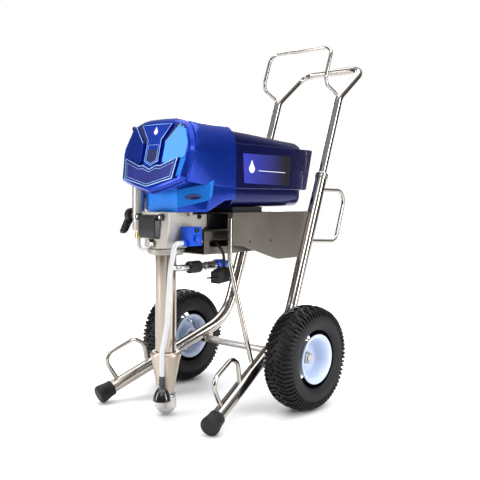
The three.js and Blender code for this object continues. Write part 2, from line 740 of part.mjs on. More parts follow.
// Displacement rod: clevis on top, piston at the foot.
function pumpRod() {
  const rodAt = (z) => v3(0, PUMP_Y, z);
  const cheek = (y0, y1) => {
    const flat = block(-10, y0, CLEVIS_Z - 18, 10, y1, CLEVIS_Z);
    return join(flat, rod(v3(0, y0, CLEVIS_Z), v3(0, y1, CLEVIS_Z), 10));
  };
  const yoke = block(-10, PUMP_Y - 13, CLEVIS_Z - 21, 10, PUMP_Y + 13, CLEVIS_Z - 15);
  const pinFront = v3(0, PUMP_Y - 10, CLEVIS_Z);
  const pin = rod(pinFront, v3(0, PUMP_Y + 10, CLEVIS_Z), CLEVIS_PIN_RADIUS);
  const shank = rod(rodAt(230), rodAt(CLEVIS_Z - 18), PUMP_ROD_RADIUS);
  const piston = rod(rodAt(215), rodAt(240), CYLINDER_BORE_RADIUS - RUNNING_GAP, 24);
  return join(cheek(PUMP_Y - 13, PUMP_Y - 7), cheek(PUMP_Y + 7, PUMP_Y + 13), yoke, pin, shank, piston);
}
add("pump_rod", pumpRod(), FINISH.steel);

// Black guard over the rod, with rounded upper and lower edges.
const SHIELD_FRONT_Y = HOUSING_FRONT_Y - 17;
function rodShield() {
  const back = HOUSING_FRONT_Y - GAP;
  const level = (backZ, frontZ, frontHalf, setBack) => [
    v3(31, back, backZ),
    v3(-31, back, backZ),
    v3(-frontHalf, SHIELD_FRONT_Y + setBack, frontZ),
    v3(frontHalf, SHIELD_FRONT_Y + setBack, frontZ),
  ];
  const foot = [level(427, 430, 27, 3), level(433, 438, 28, 0)];
  return loft([...foot, level(478, 474, 28, 0), level(484, 482, 25, 5)]);
}
add("rod_shield", rodShield(), FINISH.blackPlastic);

// Bright locking nut under the shield.
const latchProfile = [
  [0, 0],
  [11, 0],
  [11, 8],
  [9.5, 13],
  [0, 13],
];
const latchPlace = v3(0, HOUSING_FRONT_Y - GAP, 415.7);
add("pump_latch", turned(latchProfile, latchPlace, v3(0, -1, 0), 16), FINISH.castAluminium);

// ---- pump ----
// A piece turned round the pump's axis: profile heights are true heights.
const pumpTurned = (profile, sides = 24) => turned(profile, v3(0, PUMP_Y, 0), v3(0, 0, 1), sides);

function clampRing() {
  return pumpTurned([
    [NECK_BORE_RADIUS, CYLINDER_TOP_Z + GAP],
    [40, CYLINDER_TOP_Z + GAP],
    [44, CYLINDER_TOP_Z + 5],
    [44, RING_TOP_Z - 4],
    [40, RING_TOP_Z],
    [NECK_BORE_RADIUS, RING_TOP_Z],
    [NECK_BORE_RADIUS, CYLINDER_TOP_Z + GAP],
  ]);
}
add("clamp_ring", clampRing(), FINISH.castAluminium);

function pumpCylinder() {
  return pumpTurned([
    [CYLINDER_BORE_RADIUS, CYLINDER_FOOT_Z],
    [CYLINDER_RADIUS, CYLINDER_FOOT_Z],
    [CYLINDER_RADIUS, CYLINDER_TOP_Z],
    [CYLINDER_BORE_RADIUS, CYLINDER_TOP_Z],
    [CYLINDER_BORE_RADIUS, CYLINDER_FOOT_Z],
  ]);
}
add("pump_cylinder", pumpCylinder(), FINISH.stainless);

// Tapered foot of the pump, screwed to the cylinder by its wide top.
function intakeHousing() {
  return pumpTurned([
    [10, INTAKE_FOOT_Z],
    [20, INTAKE_FOOT_Z],
    [22, 64],
    [27, 98],
    [CYLINDER_RADIUS + 7, 129],
    [CYLINDER_RADIUS + 12, 146],
    [CYLINDER_RADIUS + 11, 153],
    [CYLINDER_RADIUS + 8, CYLINDER_FOOT_Z - GAP],
    [CYLINDER_BORE_RADIUS, CYLINDER_FOOT_Z - GAP],
    [CYLINDER_BORE_RADIUS, 120],
    [10, 100],
    [10, INTAKE_FOOT_Z],
  ]);
}
add("intake_housing", intakeHousing(), FINISH.nickel);

// Suction strainer, a cup open upwards.
function inletStrainer() {
  return pumpTurned([
    [0, STRAINER_FOOT_Z],
    [12, STRAINER_FOOT_Z],
    [21, STRAINER_FOOT_Z + 8],
    [24, STRAINER_FOOT_Z + 14],
    [25.5, 46],
    [24, INTAKE_FOOT_Z - 1],
    [14, INTAKE_FOOT_Z - GAP],
    [14, STRAINER_FOOT_Z + 14],
    [0, STRAINER_FOOT_Z + 14],
  ]);
}
add("inlet_strainer", inletStrainer(), FINISH.castAluminium);

// Filter tower on the right, on its manifold, with the black prime lever.
const filterAt = (z) => v3(FILTER_X, FILTER_Y, z);
function filterManifold() {
  const seat = rod(filterAt(444), filterAt(MANIFOLD_TOP_Z), FILTER_RADIUS - 1);
  const low = [FILTER_X + 4, FILTER_Y - 9, 446];
  const arm = block(...low, -HOUSING_HALF_WIDTH - GAP, FILTER_Y + 9, 460);
  const port = rod(filterAt(453), v3(FILTER_X - FILTER_RADIUS - 2, FILTER_Y, 453), 6, 14);
  return join(seat, arm, port);
}
add("filter_manifold", filterManifold(), FINISH.castAluminium);
const filterBody = rod(filterAt(MANIFOLD_TOP_Z + GAP), filterAt(FILTER_TOP_Z), FILTER_RADIUS, 24);
add("filter_housing", filterBody, FINISH.castAluminium);

const LEVER_X = FILTER_X - FILTER_RADIUS - 5;
const leverAt = (x) => v3(x, FILTER_Y, LEVER_Z);
const valveStem = rod(leverAt(FILTER_X - FILTER_RADIUS - GAP), leverAt(LEVER_X), 8, 14);
add("prime_valve", valveStem, FINISH.brass);

// Round boss on the valve and a flat arm that hangs down.
function primeLever() {
  const outer = LEVER_X - LEVER_THICKNESS;
  const boss = rod(leverAt(LEVER_X - GAP), leverAt(outer), 15);
  const level = (inner, front, rear, z) => [
    v3(outer, rear, z),
    v3(inner, rear, z),
    v3(inner, front, z),
    v3(outer, front, z),
  ];
  const top = level(LEVER_X - 3, FILTER_Y - 12, FILTER_Y + 12, LEVER_Z);
  const tip = level(LEVER_X - 5, FILTER_Y - 14, FILTER_Y + 4, LEVER_Z - 42);
  return join(boss, loft([top, tip]));
}
add("prime_lever", primeLever(), FINISH.blackPlastic);

// Brass fitting and clear link tube from the manifold to the pump head.
function brassFitting() {
  return join(rod(filterAt(443.7), filterAt(436), 7, 12), rod(filterAt(437), filterAt(424), 8.5, 12));
}
add("brass_fitting", brassFitting(), FINISH.brass);
const linkCorners = [filterAt(423.7), filterAt(397), v3(-46, PUMP_Y - 10, 396)];
add("link_tube", tube(bent(linkCorners, 22, 4), 4.5, 8), FINISH.clearTube);

// Blue valve block on the left of the housing.
function valveBlock() {
  const body = block(HOUSING_HALF_WIDTH + 1, -266, 411, VALVE_X + 16, -228, 456);
  return join(body, rod(v3(VALVE_X, -266, 418), v3(VALVE_X, -276, 418), DRAIN_RADIUS + 2, 14));
}
add("valve_block", valveBlock(), FINISH.bluePlastic);

// Drain tube down the front of the pump, ending in a black bell.
const BELL = v3(30, -310, 44);
const drainCorners = [
  v3(VALVE_X, -276.3, 418),
  v3(VALVE_X, -300, 418),
  v3(40, -308, 360),
  v3(31, -310, 200),
  v3(BELL.x, BELL.y, 102),
];
add("drain_tube", tube(bent(drainCorners, 40, 4), DRAIN_RADIUS, 8), FINISH.clearTube);
function drainBell() {
  const neck = DRAIN_RADIUS + 1;
  const profile = [
    [0, 57.7],
    [neck, 57.7],
    [neck, 30],
    [12, 27],
    [20, 10],
    [21.5, 0],
    [19.5, 0],
    [17, 10],
    [9, 24],
    [0, 24],
  ];
  return turned(profile, BELL);
}
add("drain_bell", drainBell(), FINISH.blackRubber);

// Paint outlet: elbow, black swivel nut, steel sleeve and blue cap, in a line under the bracket.
const SPIGOT_RADIUS = 6;
const SWIVEL_LENGTH = 38;
const outletAt = (y) => v3(OUTLET_X, y, OUTLET_Z);
function outletElbow() {
  const start = v3(CYLINDER_RADIUS + GAP, PUMP_Y, OUTLET_Z);
  const corners = [start, outletAt(PUMP_Y), outletAt(-243)];
  return tube(bent(corners, 12, 4), SPIGOT_RADIUS + 2, 12);
}
add("outlet_elbow", outletElbow(), FINISH.castAluminium);
function outletNut() {
  const bore = SPIGOT_RADIUS + 2 * GAP;
  const ribs = 5;
  const pitch = (SWIVEL_LENGTH - 2) / ribs;
  const profile = [[bore, 0]];
  for (let i = 0; i < ribs; i += 1) {
    const start = 2 + i * pitch;
    profile.push([15, start], [15, start + 4], [13.4, start + 5]);
  }
  profile.push([12, SWIVEL_LENGTH], [bore, SWIVEL_LENGTH], [bore, 0]);
  return turned(profile, outletAt(-240), v3(0, 1, 0), 16);
}
add("outlet_nut", outletNut(), FINISH.blackPlastic);
function outletSpigot() {
  const pipe = rod(outletAt(-242.7), outletAt(-200), SPIGOT_RADIUS, 16);
  const hexagon = rod(outletAt(-201.7), outletAt(-184), 8.5, 6);
  return join(pipe, hexagon, rod(outletAt(-185), outletAt(-147), 10, 18, 11));
}
add("outlet_spigot", outletSpigot(), FINISH.castAluminium);
add("outlet_cap", rod(outletAt(-146.7), outletAt(-106), 13, 18, 11), FINISH.bluePlastic);

// ---- covers ----
const faceY = (z) => FACE_TOP_Y - FACE_SLOPE * (SHROUD_TOP_Z + 3 - z);

// A level of the shroud in plan: straight back and sides, and a narrower front joined by slants.
function shroudLevel(halfWidth, front, cornerX, cornerY, z, inset) {
  const w = halfWidth - inset;
  const rear = SHROUD_REAR_Y + (inset ? 5 : 0);
  const slant = inset * 0.5;
  return [
    v3(w, rear, z),
    v3(-w, rear, z),
    v3(-w, cornerY + slant, z),
    v3(-cornerX + slant, front + inset, z),
    v3(cornerX - slant, front + inset, z),
    v3(w, cornerY + slant, z),
  ];
}
function shroudBody(inset) {
  const level = (w, z) => shroudLevel(w, faceY(z), w - 12, faceY(z) + 14, z, inset);
  return loft([
    level(SHROUD_HALF_WIDTH - 8, SHROUD_TOP_Z - 148),
    level(SHROUD_HALF_WIDTH - 3, SHROUD_TOP_Z - 134),
    level(SHROUD_HALF_WIDTH, SHROUD_TOP_Z - 80),
    level(SHROUD_HALF_WIDTH, SHROUD_TOP_Z - 40),
    level(SHROUD_HALF_WIDTH - 9, SHROUD_TOP_Z - 16 - inset * 0.6),
    level(SHROUD_HALF_WIDTH - 24, SHROUD_TOP_Z - 4 - inset * 0.9),
    level(SHROUD_HALF_WIDTH - 38, SHROUD_TOP_Z - inset),
  ]);
}
function shroudSkirt(inset) {
  const foot = inset ? SKIRT_FOOT_Z - 5 : SKIRT_FOOT_Z;
  const level = (w, z) => shroudLevel(w, SKIRT_FRONT_Y, 50, SKIRT_FRONT_Y + 39, z, inset);
  const wide = SHROUD_HALF_WIDTH - 2;
  return loft([level(wide - 4, foot), level(wide, SKIRT_FOOT_Z + 19), level(wide, SHROUD_TOP_Z - 142)]);
}

// The moulded shroud over the gears, open at the back and below.
function shroud() {
  return cut(join(shroudBody(0), shroudSkirt(0)), shroudBody(WALL), shroudSkirt(WALL));
}
add("shroud", shroud(), FINISH.blueGloss);

// The shield-shaped front cap: a rim loop and two smaller loops in front of it, as half widths
// and depths below its top edge.
function frontCap() {
  const loop = (top, shoulder, low, tip, forward) => {
    const side = [top, shoulder, low];
    const corners = [...side, tip, ...side.map(([x, drop]) => [-x, drop]).reverse()];
    return corners.map(([x, drop]) => {
      const z = SHROUD_TOP_Z + 3 - drop;
      return v3(x, faceY(z) - forward, z);
    });
  };
  const w = SHROUD_HALF_WIDTH;
  const rim = [[w - 39, 0], [w, 69], [w - 5, 140], [0, 170]];
  const crown = [[w - 44, 3], [w - 11, 67], [w - 20, 137], [0, 165]];
  const face = [[w - 60, 9], [w - 28, 65], [w - 34, 133], [0, 154]];
  const loops = [loop(...rim, GAP), loop(...rim, 4), loop(...crown, 14), loop(...face, 22)];
  return loft(loops.map((points) => points.reverse()));
}
add("front_cap", frontCap(), FINISH.blueGloss);

const controlAt = (y, out) => v3(-SHROUD_HALF_WIDTH - GAP - out, y, CONTROLS_Z);
function pressureKnob() {
  const profile = [
    [0, 0],
    [13, 0],
    [13, 3],
    [10, 4],
    [9, 13],
    [7, 15],
    [0, 15],
  ];
  return turned(profile, controlAt(KNOB_Y, 0), v3(-1, 0, 0), 16);
}
add("pressure_knob", pressureKnob(), FINISH.blackPlastic);
function powerSwitch() {
  const base = rod(controlAt(SWITCH_Y, 1), controlAt(SWITCH_Y, 6), 3.4, 12);
  return join(base, rod(controlAt(SWITCH_Y, 5.5), controlAt(SWITCH_Y, 18), 2, 8, 3));
}
add("power_switch", powerSwitch(), FINISH.steel);

// A cross-section of the motor cover, leaning back by a slope and drawn in by an inset.
const COVER_FRONT_Y = SHROUD_REAR_Y + GAP;
function coverSection(y, inset, slope) {
  const drop = (z) => z - inset * Math.sign(z - MOTOR_Z);
  const lean = (z) => y + slope * (z - MOTOR_Z);
  const share = (y - COVER_FRONT_Y) / (COVER_REAR_Y - COVER_FRONT_Y);
  const profile = [
    [COVER_HALF_WIDTH - 22, COVER_TOP_Z - COVER_DROP * share],
    [COVER_HALF_WIDTH - 6, COVER_TOP_Z - 33],
    [COVER_HALF_WIDTH, COVER_TOP_Z - 35],
    [COVER_HALF_WIDTH, COVER_FOOT_Z + 43.5],
    [COVER_HALF_WIDTH - 6, COVER_FOOT_Z + 41.5],
    [COVER_HALF_WIDTH - 14, COVER_FOOT_Z + 6.5],
    [COVER_HALF_WIDTH - 24, COVER_FOOT_Z],
  ];
  const left = profile.map(([x, z]) => v3(x - inset, lean(z), drop(z)));
  const right = left.map((p) => v3(-p.x, p.y, p.z)).reverse();
  return [...left, ...right];
}

// Motor cover behind the shroud, open towards it.
function motorCover() {
  const front = COVER_FRONT_Y;
  const outer = loft([coverSection(front, 0, 0), coverSection(COVER_REAR_Y, 0, COVER_REAR_SLOPE)]);
  const innerRear = coverSection(COVER_REAR_Y - WALL, WALL, COVER_REAR_SLOPE);
  return cut(outer, loft([coverSection(front - 5, WALL, 0), innerRear]));
}
add("motor_cover", motorCover(), FINISH.navyGloss);

// Rubber mount between the deck and the motor cover.
const pad = block(-88, -132, PLATE_TOP_Z + GAP, 88, -20, COVER_FOOT_Z - GAP);
add("motor_pad", pad, FINISH.blackRubber);

// ---- motor ----
const motorAt = (y) => v3(0, y, MOTOR_Z);

// Stator shell, standing on a block on the cover's floor.
function motorStator() {
  const shell = rod(motorAt(MOTOR_FRONT_Y), motorAt(MOTOR_REAR_Y), MOTOR_RADIUS, 28);
  const stand = block(-50, -110, COVER_FOOT_Z + WALL + 2, 50, 0, MOTOR_Z - 30);
  const bore = rod(motorAt(MOTOR_FRONT_Y - 5), motorAt(MOTOR_REAR_Y + 5), MOTOR_BORE_RADIUS, 28);
  return cut(join(shell, stand), bore);
}
add("motor_stator", motorStator(), FINISH.castAluminium);

// Rotor and shaft, with the pinion cut on its front end.
function motorRotor() {
  const phase = Math.PI / 2 + Math.PI / PINION_TEETH;
  const pinion = gear(PINION_TEETH, GEAR_MODULE, GEAR_THICKNESS + 10, phase);
  return join(
    rod(motorAt(-112), motorAt(8), MOTOR_BORE_RADIUS - ROTOR_CLEARANCE, 24),
    rod(motorAt(GEAR_Y + 2), motorAt(46), MOTOR_SHAFT_RADIUS, 16),
    rod(motorAt(-170), motorAt(-105), MOTOR_SHAFT_RADIUS + 2.5, 16),
    alongY(pinion, 0, GEAR_Y + GEAR_THICKNESS + 6, MOTOR_Z),
  );
}
add("motor_rotor", motorRotor(), FINISH.copper);

// Eight flat blades on a disc.
function coolingFan() {
  const front = MOTOR_REAR_Y + 10;
  const hub = rod(motorAt(front), motorAt(front + 16), 14);
  const disc = rod(motorAt(front), motorAt(front + 3), 52, 24);
  const blades = [];
  for (let i = 0; i < 8; i += 1) {
    const blade = block(12, front + 2, -1.2, 52, front + 16, 1.2);
    blades.push(blade.rotateY((i * Math.PI) / 4).translate(0, 0, MOTOR_Z));
  }
  const bore = rod(motorAt(front - 6), motorAt(front + 22), MOTOR_SHAFT_RADIUS + GAP, 16);
  return cut(join(hub, disc, ...blades), bore);
}
add("cooling_fan", coolingFan(), FINISH.blackPlastic);

// ---- electrics ----
const boxLow = [-BOX_HALF_WIDTH, BOX_FRONT_Y, BRACKET_LIP_Z + 2];
const controlBox = block(...boxLow, BOX_HALF_WIDTH, BOX_REAR_Y, PLATE_TOP_Z - SHEET - GAP);
add("control_box", controlBox, FINISH.blackPlastic);

// The mains lead: gland, a short run, a coil lying in the bracket, and the run to the plug.
const glandFoot = v3(LEAD_X, BOX_REAR_Y + GAP, LEAD_Z);
function leadGland() {
  const profile = [
    [0, 0],
    [9, 0],
    [9, 6],
    [6.5, 8],
    [4.5, GLAND_LENGTH],
    [0, GLAND_LENGTH],
  ];
  return turned(profile, glandFoot, v3(0, 1, 0), 14);
}
add("lead_gland", leadGland(), FINISH.blackRubber);

// Hand-chosen points of the lead, in the order it is laid.
const leadRun = [
  [LEAD_X, -43.4, LEAD_Z],
  [30, -30, 462],
  [33, -14, 456],
  [38, 0, 444],
  [43, 12, 429],
  [45, 22, 415.8],
].map(([x, y, z]) => v3(x, y, z));
const tailRun = [
  [-45, 11.3, 394.2],
  [-45, -4, 394.4],
  [-43, -20, 395],
  [-34, -50, 396],
  [-16, -76, 398],
  [8, -98, 401],
  [28, -122, 406],
  [42, -144, 411],
  [56, -158, 413],
  [68, -164, 410],
  [78, -163, 401],
  [81, -157, 388],
  [80, -153, 372],
  [80, -153, 356],
].map(([x, y, z]) => v3(x, y, z));
function leadCoil() {
  const inner = COIL_MEAN_RADIUS - 2 * CORD_RADIUS;
  const outer = COIL_MEAN_RADIUS + 2 * CORD_RADIUS;
  const height = 2 * CORD_RADIUS * COIL_LAYERS;
  const profile = [
    [inner, 0],
    [outer, 0],
    [outer, height],
    [inner, height],
    [inner, 0],
  ];
  return turned(profile, COIL, v3(0, 0, 1), 28);
}
add("lead_run", tube(leadRun, CORD_RADIUS, 8), FINISH.blackRubber);
add("lead_coil", leadCoil(), FINISH.blackRubber);
add("lead_tail", tube(tailRun, CORD_RADIUS, 8), FINISH.blackRubber);

// Angled plug hanging from the lead, pins forward.
function mainsPlug() {
  const top = tailRun[tailRun.length - 1].clone().add(v3(0, 0, -GAP));
  const level = (half, front, rear, frontDrop, rearDrop) =>
    [
      [half, rear, rearDrop],
      [half, front, frontDrop],
      [-half, front, frontDrop],
      [-half, rear, rearDrop],
    ].map(([x, y, drop]) => top.clone().add(v3(x, y, -drop)));
  const body = loft([level(9, -8, 9, 0, 0), level(14, -32, 12, 10, 12), level(14, -32, 6, 38, 34)]);
  const pin = (x) => rod(top.clone().add(v3(x, -30, -24)), top.clone().add(v3(x, -50, -24)), 2.4, 8);
  return join(body, pin(-9), pin(9));
}
add("mains_plug", mainsPlug(), FINISH.blackPlastic);

// ---- placing ----
const CORD_NODES = ["lead_run", "lead_coil", "lead_tail", "mains_plug"];
const box = new THREE.Box3();
root.children
  .filter((mesh) => !CORD_NODES.includes(mesh.name))
  .forEach((mesh) => box.union(new THREE.Box3().setFromObject(mesh)));
const sprayer = new THREE.Group();
sprayer.add(root);
root.position.set(0, -(box.min.y + box.max.y) / 2, -box.min.z);

export default sprayer;
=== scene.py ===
import json
import math
import bmesh
import bpy
from mathutils import Matrix, Vector

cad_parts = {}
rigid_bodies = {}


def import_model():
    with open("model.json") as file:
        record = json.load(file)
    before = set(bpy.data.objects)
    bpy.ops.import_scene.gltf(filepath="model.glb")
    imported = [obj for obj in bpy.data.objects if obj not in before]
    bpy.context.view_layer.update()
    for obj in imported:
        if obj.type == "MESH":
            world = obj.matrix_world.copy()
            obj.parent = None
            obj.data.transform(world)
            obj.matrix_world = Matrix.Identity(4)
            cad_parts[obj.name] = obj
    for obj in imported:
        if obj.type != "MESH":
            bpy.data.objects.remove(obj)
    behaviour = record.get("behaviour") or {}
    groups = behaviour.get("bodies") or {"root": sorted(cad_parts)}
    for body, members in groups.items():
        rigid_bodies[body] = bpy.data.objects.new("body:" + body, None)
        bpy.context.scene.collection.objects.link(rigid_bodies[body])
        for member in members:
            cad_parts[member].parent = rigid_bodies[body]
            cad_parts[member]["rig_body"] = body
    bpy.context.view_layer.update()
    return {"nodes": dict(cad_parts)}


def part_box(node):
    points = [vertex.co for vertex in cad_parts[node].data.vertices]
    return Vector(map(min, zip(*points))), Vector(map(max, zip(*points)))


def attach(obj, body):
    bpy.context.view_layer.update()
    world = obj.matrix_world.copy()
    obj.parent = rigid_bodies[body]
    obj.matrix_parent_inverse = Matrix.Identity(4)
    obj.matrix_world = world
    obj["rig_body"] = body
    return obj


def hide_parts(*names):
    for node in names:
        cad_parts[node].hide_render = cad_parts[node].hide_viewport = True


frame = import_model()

# ---- where the machine stands ----
# A pale floor under the cart, and one camera in front of its left side.
# The wheel axle gives the place from which every other place is measured.
axle_low, axle_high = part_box("axle")
AXLE_Y = (axle_low.y + axle_high.y) / 2


def at(x, y, z):
    """A place in millimetres from the ground under the middle of the axle."""
    return Vector((x / 1000, y / 1000 + AXLE_Y, z / 1000))


def deselect():
    if bpy.context.object and bpy.context.object.mode != "OBJECT":
        bpy.ops.object.mode_set(mode="OBJECT")
    bpy.ops.object.select_all(action="DESELECT")


def take_up(piece):
    """Makes one piece the only one that the next operators work on."""
    deselect()
    piece.select_set(True)
    bpy.context.view_layer.objects.active = piece


deselect()
CAMERA_TURN = math.radians(41.26)
CAMERA_DIP = math.radians(3.59)
CAMERA_ROLL = math.radians(0.48)
CAMERA_LENS = 54.69
CAMERA_PLACE = at(1272.68, -1454.23, 532.35)
ahead = Vector((
    -math.sin(CAMERA_TURN) * math.cos(CAMERA_DIP),
    math.cos(CAMERA_TURN) * math.cos(CAMERA_DIP),
    -math.sin(CAMERA_DIP),
))
level_right = Vector((math.cos(CAMERA_TURN), math.sin(CAMERA_TURN), 0))
level_up = level_right.cross(ahead)
camera_right = level_right * math.cos(CAMERA_ROLL) + level_up * math.sin(CAMERA_ROLL)
camera_up = level_up * math.cos(CAMERA_ROLL) - level_right * math.sin(CAMERA_ROLL)
camera_data = bpy.data.cameras.new("camera")
camera_data.lens = CAMERA_LENS
camera_data.sensor_width = 36
camera = bpy.data.objects.new("camera", camera_data)
bpy.context.scene.collection.objects.link(camera)
turn = Matrix((camera_right, camera_up, -ahead)).transposed().to_4x4()
camera.matrix_world = Matrix.Translation(CAMERA_PLACE) @ turn
bpy.context.scene.camera = camera


def finish_of(name, colour, metal=0.0, rough=0.4, shade=0.08, rough_spread=0.06,
              grain=(300, 300, 300), depth=0.02, coat=0.0, patch=9.0, sheen=0.5):
    """A shader with fine grain, slow patches and a little relief. depth is in millimetres."""
    material = bpy.data.materials.new(name)
    material.use_nodes = True
    nodes = material.node_tree.nodes
    links = material.node_tree.links
    shader = nodes["Principled BSDF"]
    shader.inputs["Metallic"].default_value = metal
    shader.inputs["Specular IOR Level"].default_value = sheen
    shader.inputs["Coat Weight"].default_value = coat
    shader.inputs["Coat Roughness"].default_value = 0.04
    place = nodes.new("ShaderNodeTexCoord")
    scale = nodes.new("ShaderNodeMapping")
    scale.inputs["Scale"].default_value = grain
    links.new(place.outputs["Object"], scale.inputs["Vector"])
    fine = nodes.new("ShaderNodeTexNoise")
    fine.inputs["Scale"].default_value = 1
    fine.inputs["Detail"].default_value = 3
    links.new(scale.outputs["Vector"], fine.inputs["Vector"])
    slow = nodes.new("ShaderNodeTexNoise")
    slow.inputs["Scale"].default_value = patch
    slow.inputs["Detail"].default_value = 2
    links.new(place.outputs["Object"], slow.inputs["Vector"])
    both = nodes.new("ShaderNodeMix")
    both.inputs[0].default_value = 0.5
    links.new(fine.outputs["Fac"], both.inputs[2])
    links.new(slow.outputs["Fac"], both.inputs[3])
    tone = nodes.new("ShaderNodeValToRGB")
    tone.color_ramp.elements[0].position = 0.3
    tone.color_ramp.elements[1].position = 0.7
    tone.color_ramp.elements[0].color = [c * (1 - shade) for c in colour] + [1]
    tone.color_ramp.elements[1].color = [min(1, c * (1 + shade)) for c in colour] + [1]
    links.new(both.outputs[0], tone.inputs["Fac"])
    links.new(tone.outputs["Color"], shader.inputs["Base Color"])
    gloss = nodes.new("ShaderNodeMapRange")
    gloss.inputs["From Min"].default_value = 0.3
    gloss.inputs["From Max"].default_value = 0.7
    gloss.inputs["To Min"].default_value = max(0.02, rough - rough_spread)
    gloss.inputs["To Max"].default_value = rough + rough_spread
    links.new(both.outputs[0], gloss.inputs["Value"])
    links.new(gloss.outputs["Result"], shader.inputs["Roughness"])
    relief = nodes.new("ShaderNodeBump")
    relief.inputs["Strength"].default_value = 1
    relief.inputs["Distance"].default_value = depth / 1000
    links.new(fine.outputs["Fac"], relief.inputs["Height"])
    links.new(relief.outputs["Normal"], shader.inputs["Normal"])
    return material


FLOOR_HALF = 4
bpy.ops.mesh.primitive_plane_add(size=2 * FLOOR_HALF, location=(0, 0, 0))
floor = bpy.context.object
floor.name = "studio_floor"
floor.data.materials.append(
    finish_of("floor_paper", (0.9, 0.9, 0.9), rough=0.7, shade=0.01, depth=0.01, grain=(60, 60, 60))
)


CART_MIDDLE = (0, 0, 0.5)


def softbox(name, place, width, height, power):
    """A rectangular light that faces the middle of the cart. place and sizes are in metres."""
    light = bpy.data.lights.new(name, "AREA")
    light.shape = "RECTANGLE"
    light.size = width
    light.size_y = height
    light.energy = power
    lamp = bpy.data.objects.new(name, light)
    bpy.context.scene.collection.objects.link(lamp)
    lamp.location = place
    lamp.rotation_euler = (Vector(CART_MIDDLE) - Vector(place)).to_track_quat("-Z", "Y").to_euler()


softbox("key_softbox", (-1.5, -2.7, 1.3), 0.9, 2.2, 48)
softbox("side_softbox", (2.6, 0.5, 1.1), 0.5, 2.0, 46)
softbox("front_softbox", (1.9, -2.6, 2.3), 1.2, 0.8, 18)
softbox("rear_softbox", (-1.9, 2.0, 1.5), 0.8, 1.8, 36)
overhead = bpy.data.lights.new("overhead", "SUN")
overhead.energy = 2.9
overhead.angle = math.radians(80)
overhead_lamp = bpy.data.objects.new("overhead", overhead)
bpy.context.scene.collection.objects.link(overhead_lamp)
bpy.context.scene.view_settings.view_transform = "Standard"

# The studio walls: white behind the machine, and darker bands to be mirrored in its metal.
world = bpy.data.worlds.new("studio")
bpy.context.scene.world = world
world.use_nodes = True
wn = world.node_tree.nodes
wl = world.node_tree.links
wall = wn["Background"]
wall.inputs["Strength"].default_value = 1
seen = wn.new("ShaderNodeBackground")
seen.inputs["Color"].default_value = (1, 1, 1, 1)
seen.inputs["Strength"].default_value = 1.0
way = wn.new("ShaderNodeTexCoord")
split = wn.new("ShaderNodeSeparateXYZ")
wl.new(way.outputs["Generated"], split.inputs["Vector"])
bands = wn.new("ShaderNodeValToRGB")
bands.color_ramp.elements[0].position = 0.0
bands.color_ramp.elements[0].color = (0.55, 0.54, 0.52, 1)
bands.color_ramp.elements[1].position = 1.0
bands.color_ramp.elements[1].color = (0.6, 0.61, 0.64, 1)
for position, colour in [
    (0.49, (0.16, 0.14, 0.12, 1)),
    (0.53, (0.07, 0.06, 0.05, 1)),
    (0.62, (0.15, 0.14, 0.13, 1)),
    (0.78, (0.42, 0.43, 0.46, 1)),
]:
    band = bands.color_ramp.elements.new(position)
    band.color = colour
height = wn.new("ShaderNodeMapRange")
height.inputs["From Min"].default_value = -1
height.inputs["From Max"].default_value = 1
wl.new(split.outputs["Z"], height.inputs["Value"])
wl.new(height.outputs["Result"], bands.inputs["Fac"])
wl.new(bands.outputs["Color"], wall.inputs["Color"])
ray = wn.new("ShaderNodeLightPath")
choose = wn.new("ShaderNodeMixShader")
wl.new(ray.outputs["Is Camera Ray"], choose.inputs["Fac"])
wl.new(wall.outputs["Background"], choose.inputs[1])
wl.new(seen.outputs["Background"], choose.inputs[2])
wl.new(choose.outputs["Shader"], wn["World Output"].inputs["Surface"])

# ---- mains lead ----
# Rubber-sheathed cable from the control box: a short run, a coil lying in the bracket, and a run
# forward to the angled plug that hangs beside the pump. A tapered gland holds it at the box.
CORD_DIAMETER = 0.007
lead_black = finish_of("lead_rubber", (0.01, 0.01, 0.011), rough=0.5, grain=(500, 500, 500),
                       depth=0.03, sheen=0.3)
box_black = finish_of("box_plastic", (0.01, 0.01, 0.011), rough=0.38, grain=(900, 900, 900),
                      depth=0.03, sheen=0.3)
RUN_OUT = [
    (30, -43.7, 462), (30, -30, 462), (33, -14, 456), (38, 0, 444), (43, 12, 429), (45, 22, 415.8),
]
RUN_BACK = [
    (-45, 11.3, 394.2), (-45, -4, 394.4), (-43, -20, 395), (-34, -50, 396), (-16, -76, 398),
    (8, -98, 401), (28, -122, 406), (42, -144, 411), (56, -158, 413), (68, -164, 410),
    (78, -163, 401), (81, -157, 388), (80, -153, 372), (80, -153, 355.7),
]
COIL_Y = 38
COIL_SLOTS = [(45.5, 408), (38.5, 408), (45.5, 401), (38.5, 401), (38.5, 394), (45.5, 394)]
COIL_START = -19.6
SLOT_SWEEP = 335
STEPS_PER_SLOT = 28


def eased(share):
    return share * share * (3 - 2 * share)


def coil_points():
    points = []
    for index, (radius, z) in enumerate(COIL_SLOTS):
        last = index == len(COIL_SLOTS) - 1
        for step in range(STEPS_PER_SLOT):
            share = step / STEPS_PER_SLOT
            r, height_here = radius, z
            if index == 0 and share < 0.3:
                fade = eased(share / 0.3)
                r = 47.8 + (radius - 47.8) * fade
                height_here = 415.8 + (z - 415.8) * fade
            if not last and share > 0.9:
                fade = eased((share - 0.9) / 0.1)
                next_radius, next_z = COIL_SLOTS[index + 1]
                r += (next_radius - r) * fade
                height_here += (next_z - height_here) * fade
            angle = math.radians(COIL_START + (index + share) * SLOT_SWEEP)
            points.append((r * math.cos(angle), COIL_Y + r * math.sin(angle), height_here))
    angle = math.radians(COIL_START + len(COIL_SLOTS) * SLOT_SWEEP)
    points.append((45.5 * math.cos(angle), COIL_Y + 45.5 * math.sin(angle), 394))
    return points[1:]


